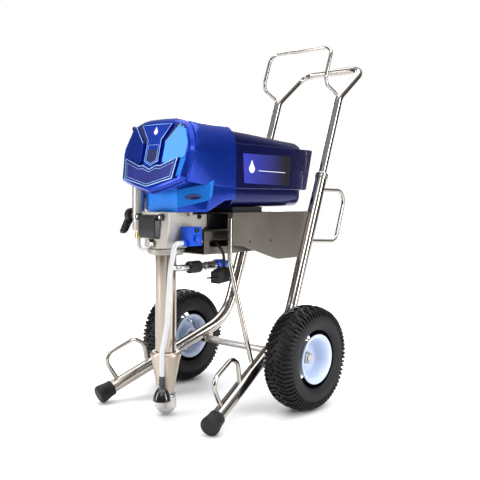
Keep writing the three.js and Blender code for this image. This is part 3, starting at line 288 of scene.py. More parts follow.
def smooth_run(points, step=5.0):
    """Points about a step apart on a smooth curve through the given ones, in millimetres."""
    ends = [points[0]] + list(points) + [points[-1]]
    knots = [Vector(p) for p in ends]
    run = []
    for i in range(1, len(knots) - 2):
        p0, p1, p2, p3 = knots[i - 1:i + 3]
        count = max(1, round((p2 - p1).length / step))
        for k in range(count):
            t = k / count
            run.append(0.5 * (
                2 * p1 + (p2 - p0) * t + (2 * p0 - 5 * p1 + 4 * p2 - p3) * t * t
                + (3 * p1 - p0 - 3 * p2 + p3) * t ** 3
            ))
    run.append(knots[-2])
    return run


lead_points = [at(*p) for p in smooth_run(RUN_OUT + coil_points() + RUN_BACK)]
lead_curve = bpy.data.curves.new("mains_lead", "CURVE")
lead_curve.dimensions = "3D"
lead_curve.bevel_depth = CORD_DIAMETER / 2
lead_curve.bevel_resolution = 3
lead_curve.use_fill_caps = True
lead_line = lead_curve.splines.new("POLY")
lead_line.points.add(len(lead_points) - 1)
for point, place in zip(lead_line.points, lead_points):
    point.co = (*place, 1)
lead_curve.materials.append(lead_black)
mains_lead = bpy.data.objects.new("mains_lead", lead_curve)
bpy.context.scene.collection.objects.link(mains_lead)
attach(mains_lead, "machine")
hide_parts("lead_run", "lead_coil", "lead_tail")

MERGE_DISTANCE = 0.00002


def moulded(node, material, edge=1.0, rounds=2, sharp=35):
    """A smooth copy of a CAD solid with its corners rounded, standing for it."""
    source = frame["nodes"][node]
    piece = bpy.data.objects.new(node + "_finished", source.data.copy())
    bpy.context.scene.collection.objects.link(piece)
    take_up(piece)
    bpy.ops.mesh.customdata_custom_splitnormals_clear()
    bpy.ops.object.mode_set(mode="EDIT")
    bpy.ops.mesh.select_all(action="SELECT")
    bpy.ops.mesh.remove_doubles(threshold=MERGE_DISTANCE)
    bpy.ops.mesh.dissolve_limited(angle_limit=math.radians(0.5))
    bpy.ops.mesh.normals_make_consistent(inside=False)
    bpy.ops.object.mode_set(mode="OBJECT")
    if edge:
        bpy.ops.object.shade_smooth()
        rounding = piece.modifiers.new("rounding", "BEVEL")
        rounding.width = edge / 1000
        rounding.segments = rounds
        rounding.harden_normals = True
        rounding.limit_method = "ANGLE"
        rounding.angle_limit = math.radians(sharp)
        bpy.ops.object.modifier_apply(modifier="rounding")
    else:
        bpy.ops.object.shade_smooth_by_angle(angle=math.radians(sharp))
    piece.data.materials.clear()
    piece.data.materials.append(material)
    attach(piece, source["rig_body"])
    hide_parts(node)
    return piece


lead_gland = moulded("lead_gland", lead_black, edge=0.6)
mains_plug = moulded("mains_plug", box_black, edge=1.6, rounds=3)


def turned(name, profile, centre, axis, material, body, nodes=(), sides=48, sharp=32, edge=0.0):
    """A piece turned on a lathe: profile points are (radius, place along the axis)."""
    mesh = bpy.data.meshes.new(name)
    corners = [(r / 1000, 0, h / 1000) for r, h in profile]
    mesh.from_pydata(corners, [(i, i + 1) for i in range(len(corners) - 1)], [])
    piece = bpy.data.objects.new(name, mesh)
    bpy.context.scene.collection.objects.link(piece)
    take_up(piece)
    bpy.ops.object.mode_set(mode="EDIT")
    bpy.ops.mesh.select_all(action="SELECT")
    bpy.ops.mesh.spin(steps=sides, angle=2 * math.pi, center=(0, 0, 0), axis=(0, 0, 1))
    bpy.ops.mesh.select_all(action="SELECT")
    bpy.ops.mesh.remove_doubles(threshold=MERGE_DISTANCE)
    bpy.ops.mesh.normals_make_consistent(inside=False)
    bpy.ops.object.mode_set(mode="OBJECT")
    if edge:
        rounding = piece.modifiers.new("rounding", "BEVEL")
        rounding.width = edge / 1000
        rounding.segments = 2
        rounding.limit_method = "ANGLE"
        rounding.angle_limit = math.radians(sharp)
        bpy.ops.object.modifier_apply(modifier="rounding")
    bpy.ops.object.shade_smooth_by_angle(angle=math.radians(sharp))
    to_axis = Vector((0, 0, 1)).rotation_difference(Vector(axis)).to_matrix().to_4x4()
    piece.data.transform(Matrix.Translation(centre) @ to_axis)
    piece.data.materials.append(material)
    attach(piece, body)
    if nodes:
        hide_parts(*nodes)
    return piece


# ---- wheels ----
# Pneumatic tyres with turf lugs on pressed and enamelled rims, which run on plastic bushes on a
# drawn aluminium axle and are held by a nut at each end.
TYRE_RADIUS = (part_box("tyre_left")[1].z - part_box("tyre_left")[0].z) * 500
TYRE_HALF = 42
WHEEL_X = 217
WHEEL_Z = TYRE_RADIUS
RIM_RADIUS = 62
LUG_HEIGHT = 4.5
LUG_ROOT = 1.5
LUG_PITCHES = 34
axle_metal = finish_of("axle_aluminium", (0.5, 0.48, 0.46), metal=1, rough=0.32, grain=(40, 900, 900))
tyre_black = finish_of("tyre_rubber", (0.008, 0.008, 0.009), rough=0.5, shade=0.2, rough_spread=0.1,
                       grain=(260, 260, 260), depth=0.12, sheen=0.22)
rim_enamel = finish_of("rim_paint", (0.5, 0.58, 0.76), rough=0.3, shade=0.03, coat=0.4, depth=0.01)
bush_black = finish_of("bush_plastic", (0.03, 0.03, 0.03), rough=0.5)
zinc = finish_of("zinc_steel", (0.45, 0.45, 0.46), metal=1, rough=0.22, shade=0.12, grain=(300, 300, 300))
moulded("axle", axle_metal, edge=1.2)


def tyre_profile(radius, half, steps=26):
    """The outside of a tyre from bead to bead, rounded but squarer than an oval."""
    opening = math.radians(52)
    section = (radius - RIM_RADIUS) / 2
    middle = radius - section
    points = []
    for i in range(steps + 1):
        angle = -math.pi / 2 + opening + 2 * (math.pi - opening) * i / steps
        up, across = math.sin(angle), math.cos(angle)
        points.append((
            middle + math.copysign(abs(up) ** 0.78, up) * section,
            math.copysign(abs(across) ** 0.78, across) * half,
        ))
    return points


def crown_radius(x, lift):
    """Radius of the tyre's outside at a distance x from its middle plane."""
    section = (TYRE_RADIUS - LUG_HEIGHT + lift - RIM_RADIUS) / 2
    share = min(1, abs(x) / (TYRE_HALF - 2 + lift * 0.4))
    across = share ** (1 / 0.78)
    return RIM_RADIUS + section + section * max(0.0, 1 - across * across) ** 0.39


def tread_lugs(bm):
    """Two rows of slanted bars on the crown and blocks down each shoulder, all the way round."""
    pitch = 2 * math.pi / LUG_PITCHES
    bars = []
    shoulders = []
    for side in (1, -1):
        for k in range(LUG_PITCHES):
            start = (k + (0.5 if side < 0 else 0)) * pitch
            bars.append((start, side, [(2, 0.05), (13, 0.22), (25, 0.52), (34, 0.58)], 0.3))
            bars.append((start + pitch * 0.5, side, [(9, 0.02), (19, 0.28), (26, 0.36)], 0.16))
            shoulders.append((start, side, 0.9))
            shoulders.append((start, side, 0.4))
    for start, side, line, width in bars:
        rows = []
        for x, lead in line:
            row = []
            for edge in (-0.5, 0.5):
                for lift, taper in ((-LUG_ROOT, 1.0), (LUG_HEIGHT, 0.8)):
                    angle = start + (lead + edge * width * taper) * pitch
                    radius = crown_radius(x, lift) if lift > 0 else crown_radius(x, 0) - LUG_ROOT
                    row.append((side * x, radius * math.cos(angle), radius * math.sin(angle)))
            rows.append([bm.verts.new([c / 1000 for c in p]) for p in row])
        for first, second in zip(rows, rows[1:]):
            for i, j in ((1, 3), (0, 1), (3, 2)):
                bm.faces.new((first[i], first[j], second[j], second[i]))
            bm.faces.new((first[2], first[0], second[0], second[2]))
        bm.faces.new((rows[0][0], rows[0][2], rows[0][3], rows[0][1]))
        bm.faces.new((rows[-1][0], rows[-1][1], rows[-1][3], rows[-1][2]))
    shoulder_blocks(bm, shoulders)


def shoulder_blocks(bm, shoulders):
    """Small wedges that stand out of the shoulder between the bars."""
    pitch = 2 * math.pi / LUG_PITCHES
    foot = [(26, 120), (34, 113.5), (39, 104)]
    crest = [(29.5, 125.2), (38, 119.3), (42, 107.5)]
    for start, side, lead in shoulders:
        rows = []
        for (fx, fr), (cx, cr) in zip(foot, crest):
            row = []
            for edge, (x, radius) in ((-0.14, (fx, fr)), (-0.1, (cx, cr)), (0.1, (cx, cr)), (0.14, (fx, fr))):
                angle = start + (lead + edge) * pitch
                row.append(bm.verts.new((side * x / 1000, radius * math.cos(angle) / 1000,
                                         radius * math.sin(angle) / 1000)))
            rows.append(row)
        for first, second in zip(rows, rows[1:]):
            for i in range(4):
                j = (i + 1) % 4
                bm.faces.new((first[i], first[j], second[j], second[i]))
        bm.faces.new(rows[0])
        bm.faces.new(rows[-1])


def make_tyre(side, x_sign):
    outside = tyre_profile(TYRE_RADIUS - LUG_HEIGHT, TYRE_HALF - 2)
    inside = [(r - 6 if r > 90 else r + 3, x * 0.82) for r, x in reversed(outside[2:-2])]
    name = "tyre_with_tread_" + side
    mesh = bpy.data.meshes.new(name)
    profile = outside + inside + [outside[0]]
    mesh.from_pydata([(x / 1000, r / 1000, 0) for r, x in profile],
                     [(i, i + 1) for i in range(len(profile) - 1)], [])
    piece = bpy.data.objects.new(name, mesh)
    bpy.context.scene.collection.objects.link(piece)
    take_up(piece)
    bpy.ops.object.mode_set(mode="EDIT")
    bpy.ops.mesh.select_all(action="SELECT")
    bpy.ops.mesh.spin(steps=96, angle=2 * math.pi, center=(0, 0, 0), axis=(1, 0, 0))
    bpy.ops.mesh.select_all(action="SELECT")
    bpy.ops.mesh.remove_doubles(threshold=MERGE_DISTANCE)
    bpy.ops.object.mode_set(mode="OBJECT")
    bm = bmesh.new()
    bm.from_mesh(piece.data)
    tread_lugs(bm)
    bmesh.ops.recalc_face_normals(bm, faces=bm.faces[:])
    bm.to_mesh(piece.data)
    bm.free()
    bpy.ops.object.shade_smooth_by_angle(angle=math.radians(35))
    piece.data.transform(Matrix.Translation(at(x_sign * WHEEL_X, 0, WHEEL_Z)))
    piece.data.materials.append(tyre_black)
    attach(piece, "wheel_" + side)
    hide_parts("tyre_" + side)
    return piece


for side, x_sign in (("left", 1), ("right", -1)):
    make_tyre(side, x_sign)
    hub_place = at(x_sign * WHEEL_X, 0, WHEEL_Z)
    outwards = (x_sign, 0, 0)
    turned(
        "painted_rim_" + side,
        [
            (14.2, -34), (23, -34), (24, -33), (24, -7.5), (27, -6), (34, -6), (38, -7.5), (42, -6),
            (44.5, -2), (47, 8), (50, 20), (53, 25.5), (59, 29.5), (61.3, 32), (61.7, 35),
            (60.5, 36.6), (58, 36), (53, 33.5), (48.5, 28), (45, 16), (43, 6), (41.5, 0), (38.5, -3),
            (34, -3.4), (28, -2.5), (25.6, -1), (24, 0.5), (23, 2), (20.5, 2), (14.2, 2), (14.2, -34),
        ],
        hub_place, outwards, rim_enamel, "wheel_" + side, ["wheel_rim_" + side], 64,
    )
    turned(
        "rim_barrel_" + side,
        [
            (46.8, -6.3), (53, -25.5), (59, -29.5), (61.3, -32), (61.7, -35), (60.5, -36.6), (58, -36),
            (53, -33.5), (48.5, -28), (44.4, -6.3), (46.8, -6.3),
        ],
        hub_place, outwards, rim_enamel, "wheel_" + side, sides=64,
    )
    turned(
        "valve_stem_" + side,
        [(0, -3), (5.4, -3), (5.4, -0.8), (3.4, 0.2), (3.2, 12), (2.4, 12.6), (2.2, 17), (0, 17.6)],
        at(x_sign * (WHEEL_X - 3.5), -24, WHEEL_Z + 26), outwards, bush_black,
        "wheel_" + side, sides=16,
    )
    moulded("wheel_bush_" + side, bush_black, edge=0.4)
    turned(
        "hub_nut_" + side,
        [(10.4, 4), (15.2, 4), (15.2, 10.6), (13.8, 12), (10.4, 12), (10.4, 4)],
        hub_place, outwards, zinc, "machine", ["axle_nut_" + side], 6, sharp=25, edge=0.7,
    )

# ---- side frames ----
# Each side is one polished stainless tube, bent wide at the knee, with a rod loop welded on its
# leg, a guide collar on top and a moulded rubber boot on its foot.
LEAN = math.radians(19.9)
TUBE_RADIUS = 16
UPRIGHT_X = 108.8
UPRIGHT_TOP_Z = 577


def upright_y(z):
    return -1.3 + z * math.tan(LEAN)


def bent_run(corners, radius, steps=14):
    """Points along a line whose corners are bent to a radius, in millimetres."""
    corners = [Vector(c) for c in corners]
    run = [corners[0]]
    for before, here, after in zip(corners, corners[1:], corners[2:]):
        into = here - before
        out = after - here
        room = min(into.length, out.length) * 0.49
        into.normalize()
        out.normalize()
        half = into.angle(out) / 2
        tangent = min(radius * math.tan(half), room)
        bend = tangent / math.tan(half)
        start = here - into * tangent
        across = (out - into).normalized()
        side_way = (across - into * across.dot(into)).normalized()
        for k in range(steps + 1):
            angle = 2 * half * k / steps
            run.append(start + into * bend * math.sin(angle) + side_way * bend * (1 - math.cos(angle)))
    run.append(corners[-1])
    return run


def bar(name, run, radius, material, ring=7):
    """A round bar or tube along a run, as a closed mesh."""
    curve = bpy.data.curves.new(name, "CURVE")
    curve.dimensions = "3D"
    curve.bevel_depth = radius / 1000
    curve.bevel_resolution = ring
    curve.use_fill_caps = True
    line = curve.splines.new("POLY")
    line.points.add(len(run) - 1)
    for point, place in zip(line.points, run):
        point.co = (*at(*place), 1)
    piece = bpy.data.objects.new(name, curve)
    bpy.context.scene.collection.objects.link(piece)
    take_up(piece)
    bpy.ops.object.convert(target="MESH")
    piece = bpy.context.object
    bpy.ops.object.mode_set(mode="EDIT")
    bpy.ops.mesh.select_all(action="SELECT")
    bpy.ops.mesh.remove_doubles(threshold=0.00001)
    bpy.ops.mesh.normals_make_consistent(inside=False)
    bpy.ops.object.mode_set(mode="OBJECT")
    bpy.ops.object.shade_smooth_by_angle(angle=math.radians(40))
    piece.data.materials.clear()
    piece.data.materials.append(material)
    return piece


def joined(name, pieces):
    """Several meshes made into one piece."""
    deselect()
    for piece in pieces:
        piece.select_set(True)
    bpy.context.view_layer.objects.active = pieces[0]
    bpy.ops.object.join()
    piece = bpy.context.object
    piece.name = name
    return piece


stainless = finish_of("polished_stainless", (0.43, 0.4, 0.365), metal=1, rough=0.12, shade=0.07,
                      rough_spread=0.04, grain=(260, 260, 1400), depth=0.004)
boot_black = finish_of("boot_rubber", (0.01, 0.01, 0.011), rough=0.55, shade=0.15, depth=0.08, sheen=0.25)
FOOT = Vector((190, -312, 25))
KNEE = Vector((UPRIGHT_X, upright_y(184), 184))
leg_way = (FOOT - KNEE).normalized()


def on_leg(y, z=None):
    place = FOOT.lerp(KNEE, (y - FOOT.y) / (KNEE.y - FOOT.y))
    return Vector((place.x, y, place.z if z is None else z))


for side, x_sign in (("left", 1), ("right", -1)):
    def mirror(run, x_sign=x_sign):
        return [Vector((p[0] * x_sign, p[1], p[2])) for p in run]

    upright_top = (UPRIGHT_X, upright_y(UPRIGHT_TOP_Z), UPRIGHT_TOP_Z)
    main = bar("tube", mirror(bent_run([FOOT, KNEE, upright_top], 140, 28)), TUBE_RADIUS, stainless, 10)
    loop_run = bent_run(
        [on_leg(-264), on_leg(-311, 120), on_leg(-224, 156), on_leg(-196, 140), on_leg(-184)], 26
    )
    loop = bar("loop", mirror(loop_run), 5.4, stainless, 4)
    bpy.ops.mesh.primitive_cube_add(size=1, location=(0, 0, 0))
    lug = bpy.context.object
    lug.data.transform(Matrix.Translation(at(x_sign * (UPRIGHT_X + 14), 0, WHEEL_Z + 8))
                       @ Matrix.Diagonal((0.020, 0.030, 0.028, 1)))
    rounding = lug.modifiers.new("rounding", "BEVEL")
    rounding.width = 0.003
    rounding.segments = 3
    bpy.ops.object.modifier_apply(modifier="rounding")
    lug.data.materials.append(stainless)
    side_frame = joined("bent_side_frame_" + side, [main, loop, lug])
    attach(side_frame, "machine")
    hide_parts("side_frame_" + side)
    top_place = at(x_sign * UPRIGHT_X, upright_y(UPRIGHT_TOP_Z), UPRIGHT_TOP_Z)
    lean_way = Vector((0, math.sin(LEAN), math.cos(LEAN)))
    turned(
        "guide_collar_" + side,
        [(11.5, 0.3), (17, 0.3), (18, 1.3), (18, 6), (17.2, 7), (18, 8), (18, 13), (15.5, 16), (11.5, 16),
         (11.5, 0.3)],
        top_place, lean_way, stainless, "machine", ["handle_collar_" + side], 40,
    )
    foot_place = at(x_sign * FOOT.x, FOOT.y, FOOT.z)
    down_leg = Vector((leg_way.x * x_sign, leg_way.y, leg_way.z))
    turned(
        "rubber_boot_" + side,
        [(0, 0.3), (16.3, 0.3), (16.3, -30), (18.6, -30), (19.4, -29), (19.6, -26.5), (19.2, -25.4),
         (20.4, -14), (22.6, -2), (23, 3), (22.6, 7), (20.6, 10.4), (17, 12), (12, 12.3), (0, 12.3)],
        foot_place, down_leg, boot_black, "machine",
        ["foot_cap_" + side], 40,
    )

# ---- handle, hook, rack and braces ----
# The handle is one bent stainless tube that slides in the uprights, with a thinner rod loop on
# its front. A rod rack stands behind the left upright, and a brace runs down each deck plate.
handle_steel = finish_of("handle_stainless", (0.42, 0.395, 0.365), metal=1, rough=0.12, shade=0.07,
                         rough_spread=0.05, grain=(260, 260, 1400), depth=0.004)
JUNCTION = Vector((UPRIGHT_X, upright_y(810), 810))
GRIP_Y = 416
GRIP_Z = 903
HANDLE_RADIUS = 11
HANDLE_INSERT = 130
HOOK_FOOT_Y = 218
HOOK_TOP_Z = 944
ROD_RADIUS = 5
BRACE_RADIUS = 6
BRACE_PLACE = (102.8, -157.3)


def both_halves(half):
    return half + [Vector((-p.x, p.y, p.z)) for p in reversed(half[:-1])]


handle_foot = Vector((UPRIGHT_X, upright_y(UPRIGHT_TOP_Z) - HANDLE_INSERT * math.sin(LEAN),
                      UPRIGHT_TOP_Z - HANDLE_INSERT * math.cos(LEAN)))
handle_run = bent_run([handle_foot, JUNCTION, (UPRIGHT_X, GRIP_Y, GRIP_Z), (0, GRIP_Y, GRIP_Z)], 42)
handle_bar = bar("sliding_handle", both_halves(handle_run), HANDLE_RADIUS, handle_steel, 8)
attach(handle_bar, "handle")
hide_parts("handle_bar")
hook_top_y = HOOK_FOOT_Y + (HOOK_TOP_Z - 840) * math.tan(LEAN)
hook_run = bent_run([
    (UPRIGHT_X, JUNCTION.y - 16.5, 816), (UPRIGHT_X, HOOK_FOOT_Y, 840), (UPRIGHT_X, hook_top_y, HOOK_TOP_Z),
    (0, hook_top_y, HOOK_TOP_Z),
], 26)
hook = bar("hose_hook_loop", both_halves(hook_run), ROD_RADIUS, handle_steel, 5)
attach(hook, "handle")
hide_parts("hose_hook")


def behind_upright(z):
    return upright_y(z) + 17.2 / math.cos(LEAN) + 1


rack = bar("hose_rack_loop", bent_run([
    (UPRIGHT_X, behind_upright(545) - 2, 546), (UPRIGHT_X, 334, 545), (UPRIGHT_X, 284, 401),
    (UPRIGHT_X, behind_upright(408) - 2, 407),
], 32), ROD_RADIUS, stainless, 5)
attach(rack, "machine")
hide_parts("hose_rack")
for side, x_sign in (("left", 1), ("right", -1)):
    landing = on_leg(-118) + Vector((0, -1, 2.37)).normalized() * 23.2
    brace_run = bent_run([(*BRACE_PLACE, 474), (*BRACE_PLACE, 366), landing], 30)
    brace = bar("brace_" + side, [Vector((p.x * x_sign, p.y, p.z)) for p in brace_run],
                BRACE_RADIUS, stainless, 5)
    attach(brace, "machine")
    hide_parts("brace_rod_" + side)

# ---- deck and mount bracket ----
# Folded and brushed stainless sheet, bolted between the uprights, with a slotted channel under it.
brushed = finish_of("brushed_sheet", (0.2, 0.18, 0.16), metal=1, rough=0.36, shade=0.06,
                    rough_spread=0.06, grain=(40, 40, 1600), depth=0.004)
moulded("deck", brushed, edge=0.8)
moulded("mount_bracket", brushed, edge=0.8)

# ---- drive housing ----
# Aluminium casting, blasted, with a black guard over the rod and a bright locking nut.
cast = finish_of("cast_aluminium", (0.43, 0.41, 0.37), metal=0.7, rough=0.45, shade=0.06, depth=0.12,
                 grain=(500, 500, 500))
guard_black = finish_of("guard_plastic", (0.008, 0.008, 0.009), rough=0.3, depth=0.02, sheen=0.35)
bright_alloy = finish_of("polished_alloy", (0.56, 0.54, 0.52), metal=1, rough=0.22, shade=0.04)
gear_steel = finish_of("gear_steel", (0.45, 0.45, 0.46), metal=1, rough=0.35)
SHIELD_KNOB_X = 39
SHIELD_KNOB_PLACE = (-316, 478)
moulded("drive_housing", cast, edge=2.0, rounds=3)
moulded("rod_shield", guard_black, edge=5.0, rounds=4)
for side, s in (("left", 1), ("right", -1)):
    turned("shield_knob_" + side,
           [(0, 0.4), (7, 0.4), (8.5, 1.6), (8.5, 9), (7.4, 10.6), (4.2, 10.8), (0, 10.8)],
           at(s * SHIELD_KNOB_X, *SHIELD_KNOB_PLACE), (0, -1, 0), guard_black, "machine",
           sides=28)
    turned("shield_screw_" + side, [(0, 10.9), (3.6, 10.9), (3.4, 12.2), (2, 12.8), (0, 12.8)],
           at(s * SHIELD_KNOB_X, *SHIELD_KNOB_PLACE), (0, -1, 0), bright_alloy, "machine",
           sides=20)
    turned("housing_screw_" + side,
           [(0, 0.3), (5.6, 0.3), (5.8, 1), (5.6, 3.6), (4.8, 4.4), (3, 4.4), (2.8, 2.2), (0, 2.2)],
           at(s * 46, -206, 478), (s, 0, 0), guard_black, "machine", sides=24)
moulded("pump_latch", bright_alloy, edge=0.6)
moulded("crank_gear", gear_steel, edge=0)
moulded("connecting_rod", gear_steel, edge=0)

# ---- pump ----
# A polished tube between the clamp ring and a nickel-plated foot, with a mesh strainer below.
PUMP_Y = -270
pump_place = at(0, PUMP_Y, 0)
UP = (0, 0, 1)
chrome = finish_of("polished_tube", (0.37, 0.32, 0.27), metal=1, rough=0.11, shade=0.04,
                   rough_spread=0.03, grain=(900, 900, 60), depth=0.003)
nickel = finish_of("nickel_casting", (0.5, 0.43, 0.35), metal=0.9, rough=0.4, shade=0.08, depth=0.08,
                   grain=(400, 400, 400))
moulded("pump_rod", gear_steel, edge=0)
turned("clamp_ring_turned", [
    (11.9, 388.3), (38, 388.3), (40, 389), (44, 393), (44, 394.8), (42.8, 395.6), (42.8, 397), (44, 397.8),
    (44, 400), (42.5, 402.6), (40, 404), (11.9, 404), (11.9, 388.3),
], pump_place, UP, cast, "machine", ["clamp_ring"], 64)
turned("pump_cylinder_polished", [
    (20, 156), (24.4, 156), (25, 156.8), (25, 384), (25.8, 384.6), (25.8, 387.4), (25, 388), (20, 388),
    (20, 156),
], pump_place, UP, chrome, "machine", ["pump_cylinder"], 64)
turned("intake_foot", [
    (10, 54), (19, 54), (20.5, 55.5), (20.5, 61), (21.5, 63), (21.8, 66), (22.5, 72), (26.2, 95), (27.2, 98),
    (28.6, 104), (31.8, 126), (33, 131), (36.2, 143), (37, 146), (37, 150), (36, 152.6), (33.5, 154.6),
    (33, 155.7), (20, 155.7), (20, 120), (10, 100), (10, 54),
], pump_place, UP, nickel, "machine", ["intake_housing"], 64)
turned("strainer_frame", [
    (0, 6), (11, 6), (14, 8), (20, 13.5), (23, 18.5), (23.8, 20), (23.8, 21.6), (22.8, 22), (23.6, 46),
    (25.2, 46.4), (25.4, 50), (24.4, 53), (14, 53.7), (14, 20), (0, 20), (0, 6),
], pump_place, UP, gear_steel, "machine", ["inlet_strainer"], 48)
bpy.ops.mesh.primitive_cylinder_add(vertices=44, radius=0.0248, depth=0.025, end_fill_type="NOTHING",
                                    location=(0, 0, 0))
mesh_sleeve = bpy.context.object
mesh_sleeve.name = "strainer_mesh"
mesh_sleeve.data.transform(Matrix.Translation(at(0, PUMP_Y, 34)))
bpy.ops.object.mode_set(mode="EDIT")
bpy.ops.mesh.select_all(action="SELECT")
bpy.ops.mesh.subdivide(number_cuts=9)
bpy.ops.object.mode_set(mode="OBJECT")
weave = mesh_sleeve.modifiers.new("weave", "WIREFRAME")
weave.thickness = 0.0011
bpy.ops.object.modifier_apply(modifier="weave")
mesh_sleeve.data.materials.append(bright_alloy)
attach(mesh_sleeve, "machine")

# ---- prime side ----
# Filter tower on a cast manifold, with a brass valve, a black lever, and a clear link tube.
brass = finish_of("turned_brass", (0.66, 0.5, 0.24), metal=1, rough=0.25)
clear = finish_of("clear_tube", (0.55, 0.56, 0.57), rough=0.18, coat=0.5)
tower_alloy = finish_of("tower_alloy", (0.5, 0.49, 0.48), metal=0.9, rough=0.38, shade=0.04, depth=0.02,
                        grain=(60, 60, 900))
TOWER_PLACE = (-78, -288)
moulded("filter_manifold", cast, edge=1.2)
turned("filter_tower", [
    (0, 462.3), (14.2, 462.3), (15, 463.2), (15, 468), (14.2, 469), (14.2, 471), (15, 472),
    (15, 550.6), (14, 552), (0, 552),
], at(*TOWER_PLACE, 0), UP, tower_alloy, "machine", ["filter_housing"], 48)
moulded("prime_valve", brass, edge=0.5)


def skin(name, rows, material, closed=False, thickness=0.0, edge=0.0, sharp=28, ends=False):
    """A sheet or solid over rows of matching points, given a wall and rounded edges if asked."""
    mesh = bpy.data.meshes.new(name)
    count = len(rows[0])
    faces = []
    for k in range(len(rows) - 1):
        for i in range(count if closed else count - 1):
            j = (i + 1) % count
            faces.append((k * count + i, k * count + j, (k + 1) * count + j, (k + 1) * count + i))
    if ends:
        faces.append(tuple(range(count)))
        faces.append(tuple((len(rows) - 1) * count + i for i in range(count)))
    mesh.from_pydata([at(*p) for row in rows for p in row], [], faces)
    piece = bpy.data.objects.new(name, mesh)
    bpy.context.scene.collection.objects.link(piece)
    take_up(piece)
    bpy.ops.object.mode_set(mode="EDIT")
    bpy.ops.mesh.select_all(action="SELECT")
    bpy.ops.mesh.remove_doubles(threshold=MERGE_DISTANCE)
    bpy.ops.mesh.normals_make_consistent(inside=False)
    bpy.ops.object.mode_set(mode="OBJECT")
    if thickness:
        wall_of = piece.modifiers.new("wall", "SOLIDIFY")
        wall_of.thickness = thickness / 1000
        wall_of.offset = -1
        bpy.ops.object.modifier_apply(modifier="wall")
    if edge:
        bpy.ops.object.shade_smooth()
        rounding = piece.modifiers.new("rounding", "BEVEL")
        rounding.width = edge / 1000
        rounding.segments = 3
        rounding.harden_normals = True
        rounding.limit_method = "ANGLE"
        rounding.angle_limit = math.radians(sharp)
        bpy.ops.object.modifier_apply(modifier="rounding")
    if not edge:
        bpy.ops.object.shade_smooth_by_angle(angle=math.radians(sharp))
    piece.data.materials.append(material)
    return piece


LEVER_X = -98
LEVER_Z = 479
LEVER_LEAN = 0.22
lever_hub = turned(
    "lever_hub",
    [(0, 0.4), (15.5, 0.4), (17.4, 1.8), (18, 8), (17, 13), (14.4, 14.8), (8, 15.4), (7, 13.6), (0, 13.6)],
    at(LEVER_X, TOWER_PLACE[1], LEVER_Z), (-1, 0, 0), guard_black, "prime_lever", sides=36,
)
LEVER_OUTLINE = [(-11.5, 478), (-14, 466), (-15.5, 452), (-16, 440), (-12, 434.5), (-4, 435.5), (1, 442),
                 (4, 456), (9, 468), (11.5, 478)]
lever_rows = [
    [(LEVER_X - out - (LEVER_Z - z) * splay, TOWER_PLACE[1] + y - (LEVER_Z - z) * LEVER_LEAN, z)
     for y, z in LEVER_OUTLINE]
    for out, splay in ((2.4, 0.16), (13.4, 0.24))
]
lever_arm = skin("lever_arm", lever_rows, guard_black, closed=True, edge=2.4, sharp=30, ends=True)
prime_lever = joined("black_prime_lever", [lever_hub, lever_arm])
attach(prime_lever, "prime_lever")
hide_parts("prime_lever")
moulded("brass_fitting", brass, edge=0.6)
link_run = bent_run([(*TOWER_PLACE, 423.7), (*TOWER_PLACE, 397), (-46, -280, 396)], 22)
link = bar("link_hose", link_run, 4.5, clear, 4)
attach(link, "machine")
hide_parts("link_tube")

# ---- valve block and drain ----
# Blue anodised block on the housing, and a whitish hose that ends in a black bell.
block_blue = finish_of("anodised_blue", (0.002, 0.07, 0.55), metal=0.4, rough=0.34, coat=0.15)
BLOCK_X = 62
DRAIN_PLACE = (30, -310)
moulded("valve_block", block_blue, edge=2.5, rounds=3)
turned("block_screw", [(0, 0.2), (5.4, 0.2), (5.6, 1), (5.2, 3.6), (3.4, 4.2), (3, 2.4), (0, 2.4)],
       at(78, -246, 448), (1, 0, 0), guard_black, "machine", sides=24)
turned("block_button", [(0, 0.2), (7.5, 0.2), (8, 1), (8, 5), (7, 6.4), (0, 6.8)],
       at(78, -246, 428), (1, 0, 0), block_blue, "machine", sides=28)
for index, (z, length, fitting_metal) in enumerate([(436, 12, bright_alloy), (420, 15, brass)]):
    turned("block_fitting_%d" % index, [
        (0, 0.3), (5.2, 0.3), (5.2, length * 0.4), (3.8, length * 0.4 + 0.5), (3.8, length * 0.6),
        (4.6, length * 0.6), (4.6, length - 0.6), (3.8, length), (0, length),
    ], at(BLOCK_X, -227.7, z), (0, 1, 0), fitting_metal, "machine", sides=24)
hose_run = bent_run([
    (BLOCK_X, -276.3, 418), (BLOCK_X, -300, 418), (50, -304, 350), (44, -307, 230), (*DRAIN_PLACE, 160),
    (*DRAIN_PLACE, 102),
], 34)
hose = bar("drain_hose", hose_run, 6, clear, 5)
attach(hose, "machine")
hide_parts("drain_tube")
bell_gloss = finish_of("bell_gloss", (0.006, 0.006, 0.007), rough=0.16, depth=0.004, coat=0.5)
turned("drain_bell_moulded", [
    (0, 57.7), (6, 57.7), (7, 56.5), (7, 50), (7.8, 49), (7.8, 46), (7, 45), (7, 41), (7.8, 40), (7.8, 37),
    (7, 36), (7, 30), (12, 27), (17, 18), (20, 10), (21.5, 1), (21, 0), (19.5, 0), (17, 10), (9, 24), (0, 24),
], at(*DRAIN_PLACE, 49), UP, bell_gloss, "machine", ["drain_bell"], 40)

# ---- outlet ----
# A bright elbow from the cylinder, a ribbed swivel nut on a threaded spigot, and a blue dust cap
# pushed over its end.
moulded("outlet_elbow", bright_alloy, edge=0.6)
moulded("outlet_nut", guard_black, edge=0.5)
moulded("outlet_spigot", bright_alloy, edge=0.6)
turned("outlet_dust_cap", [
    (11, 0.3), (13.4, 0.3), (14, 1.4), (14, 8), (13.2, 9), (13.2, 24), (12.4, 32), (10.4, 38),
    (8.4, 40.4), (0, 40.7), (0, 36), (11, 34), (11, 0.3),
], at(45, -147, 358), (0, 1, 0), block_blue, "machine", ["outlet_cap"], 40)

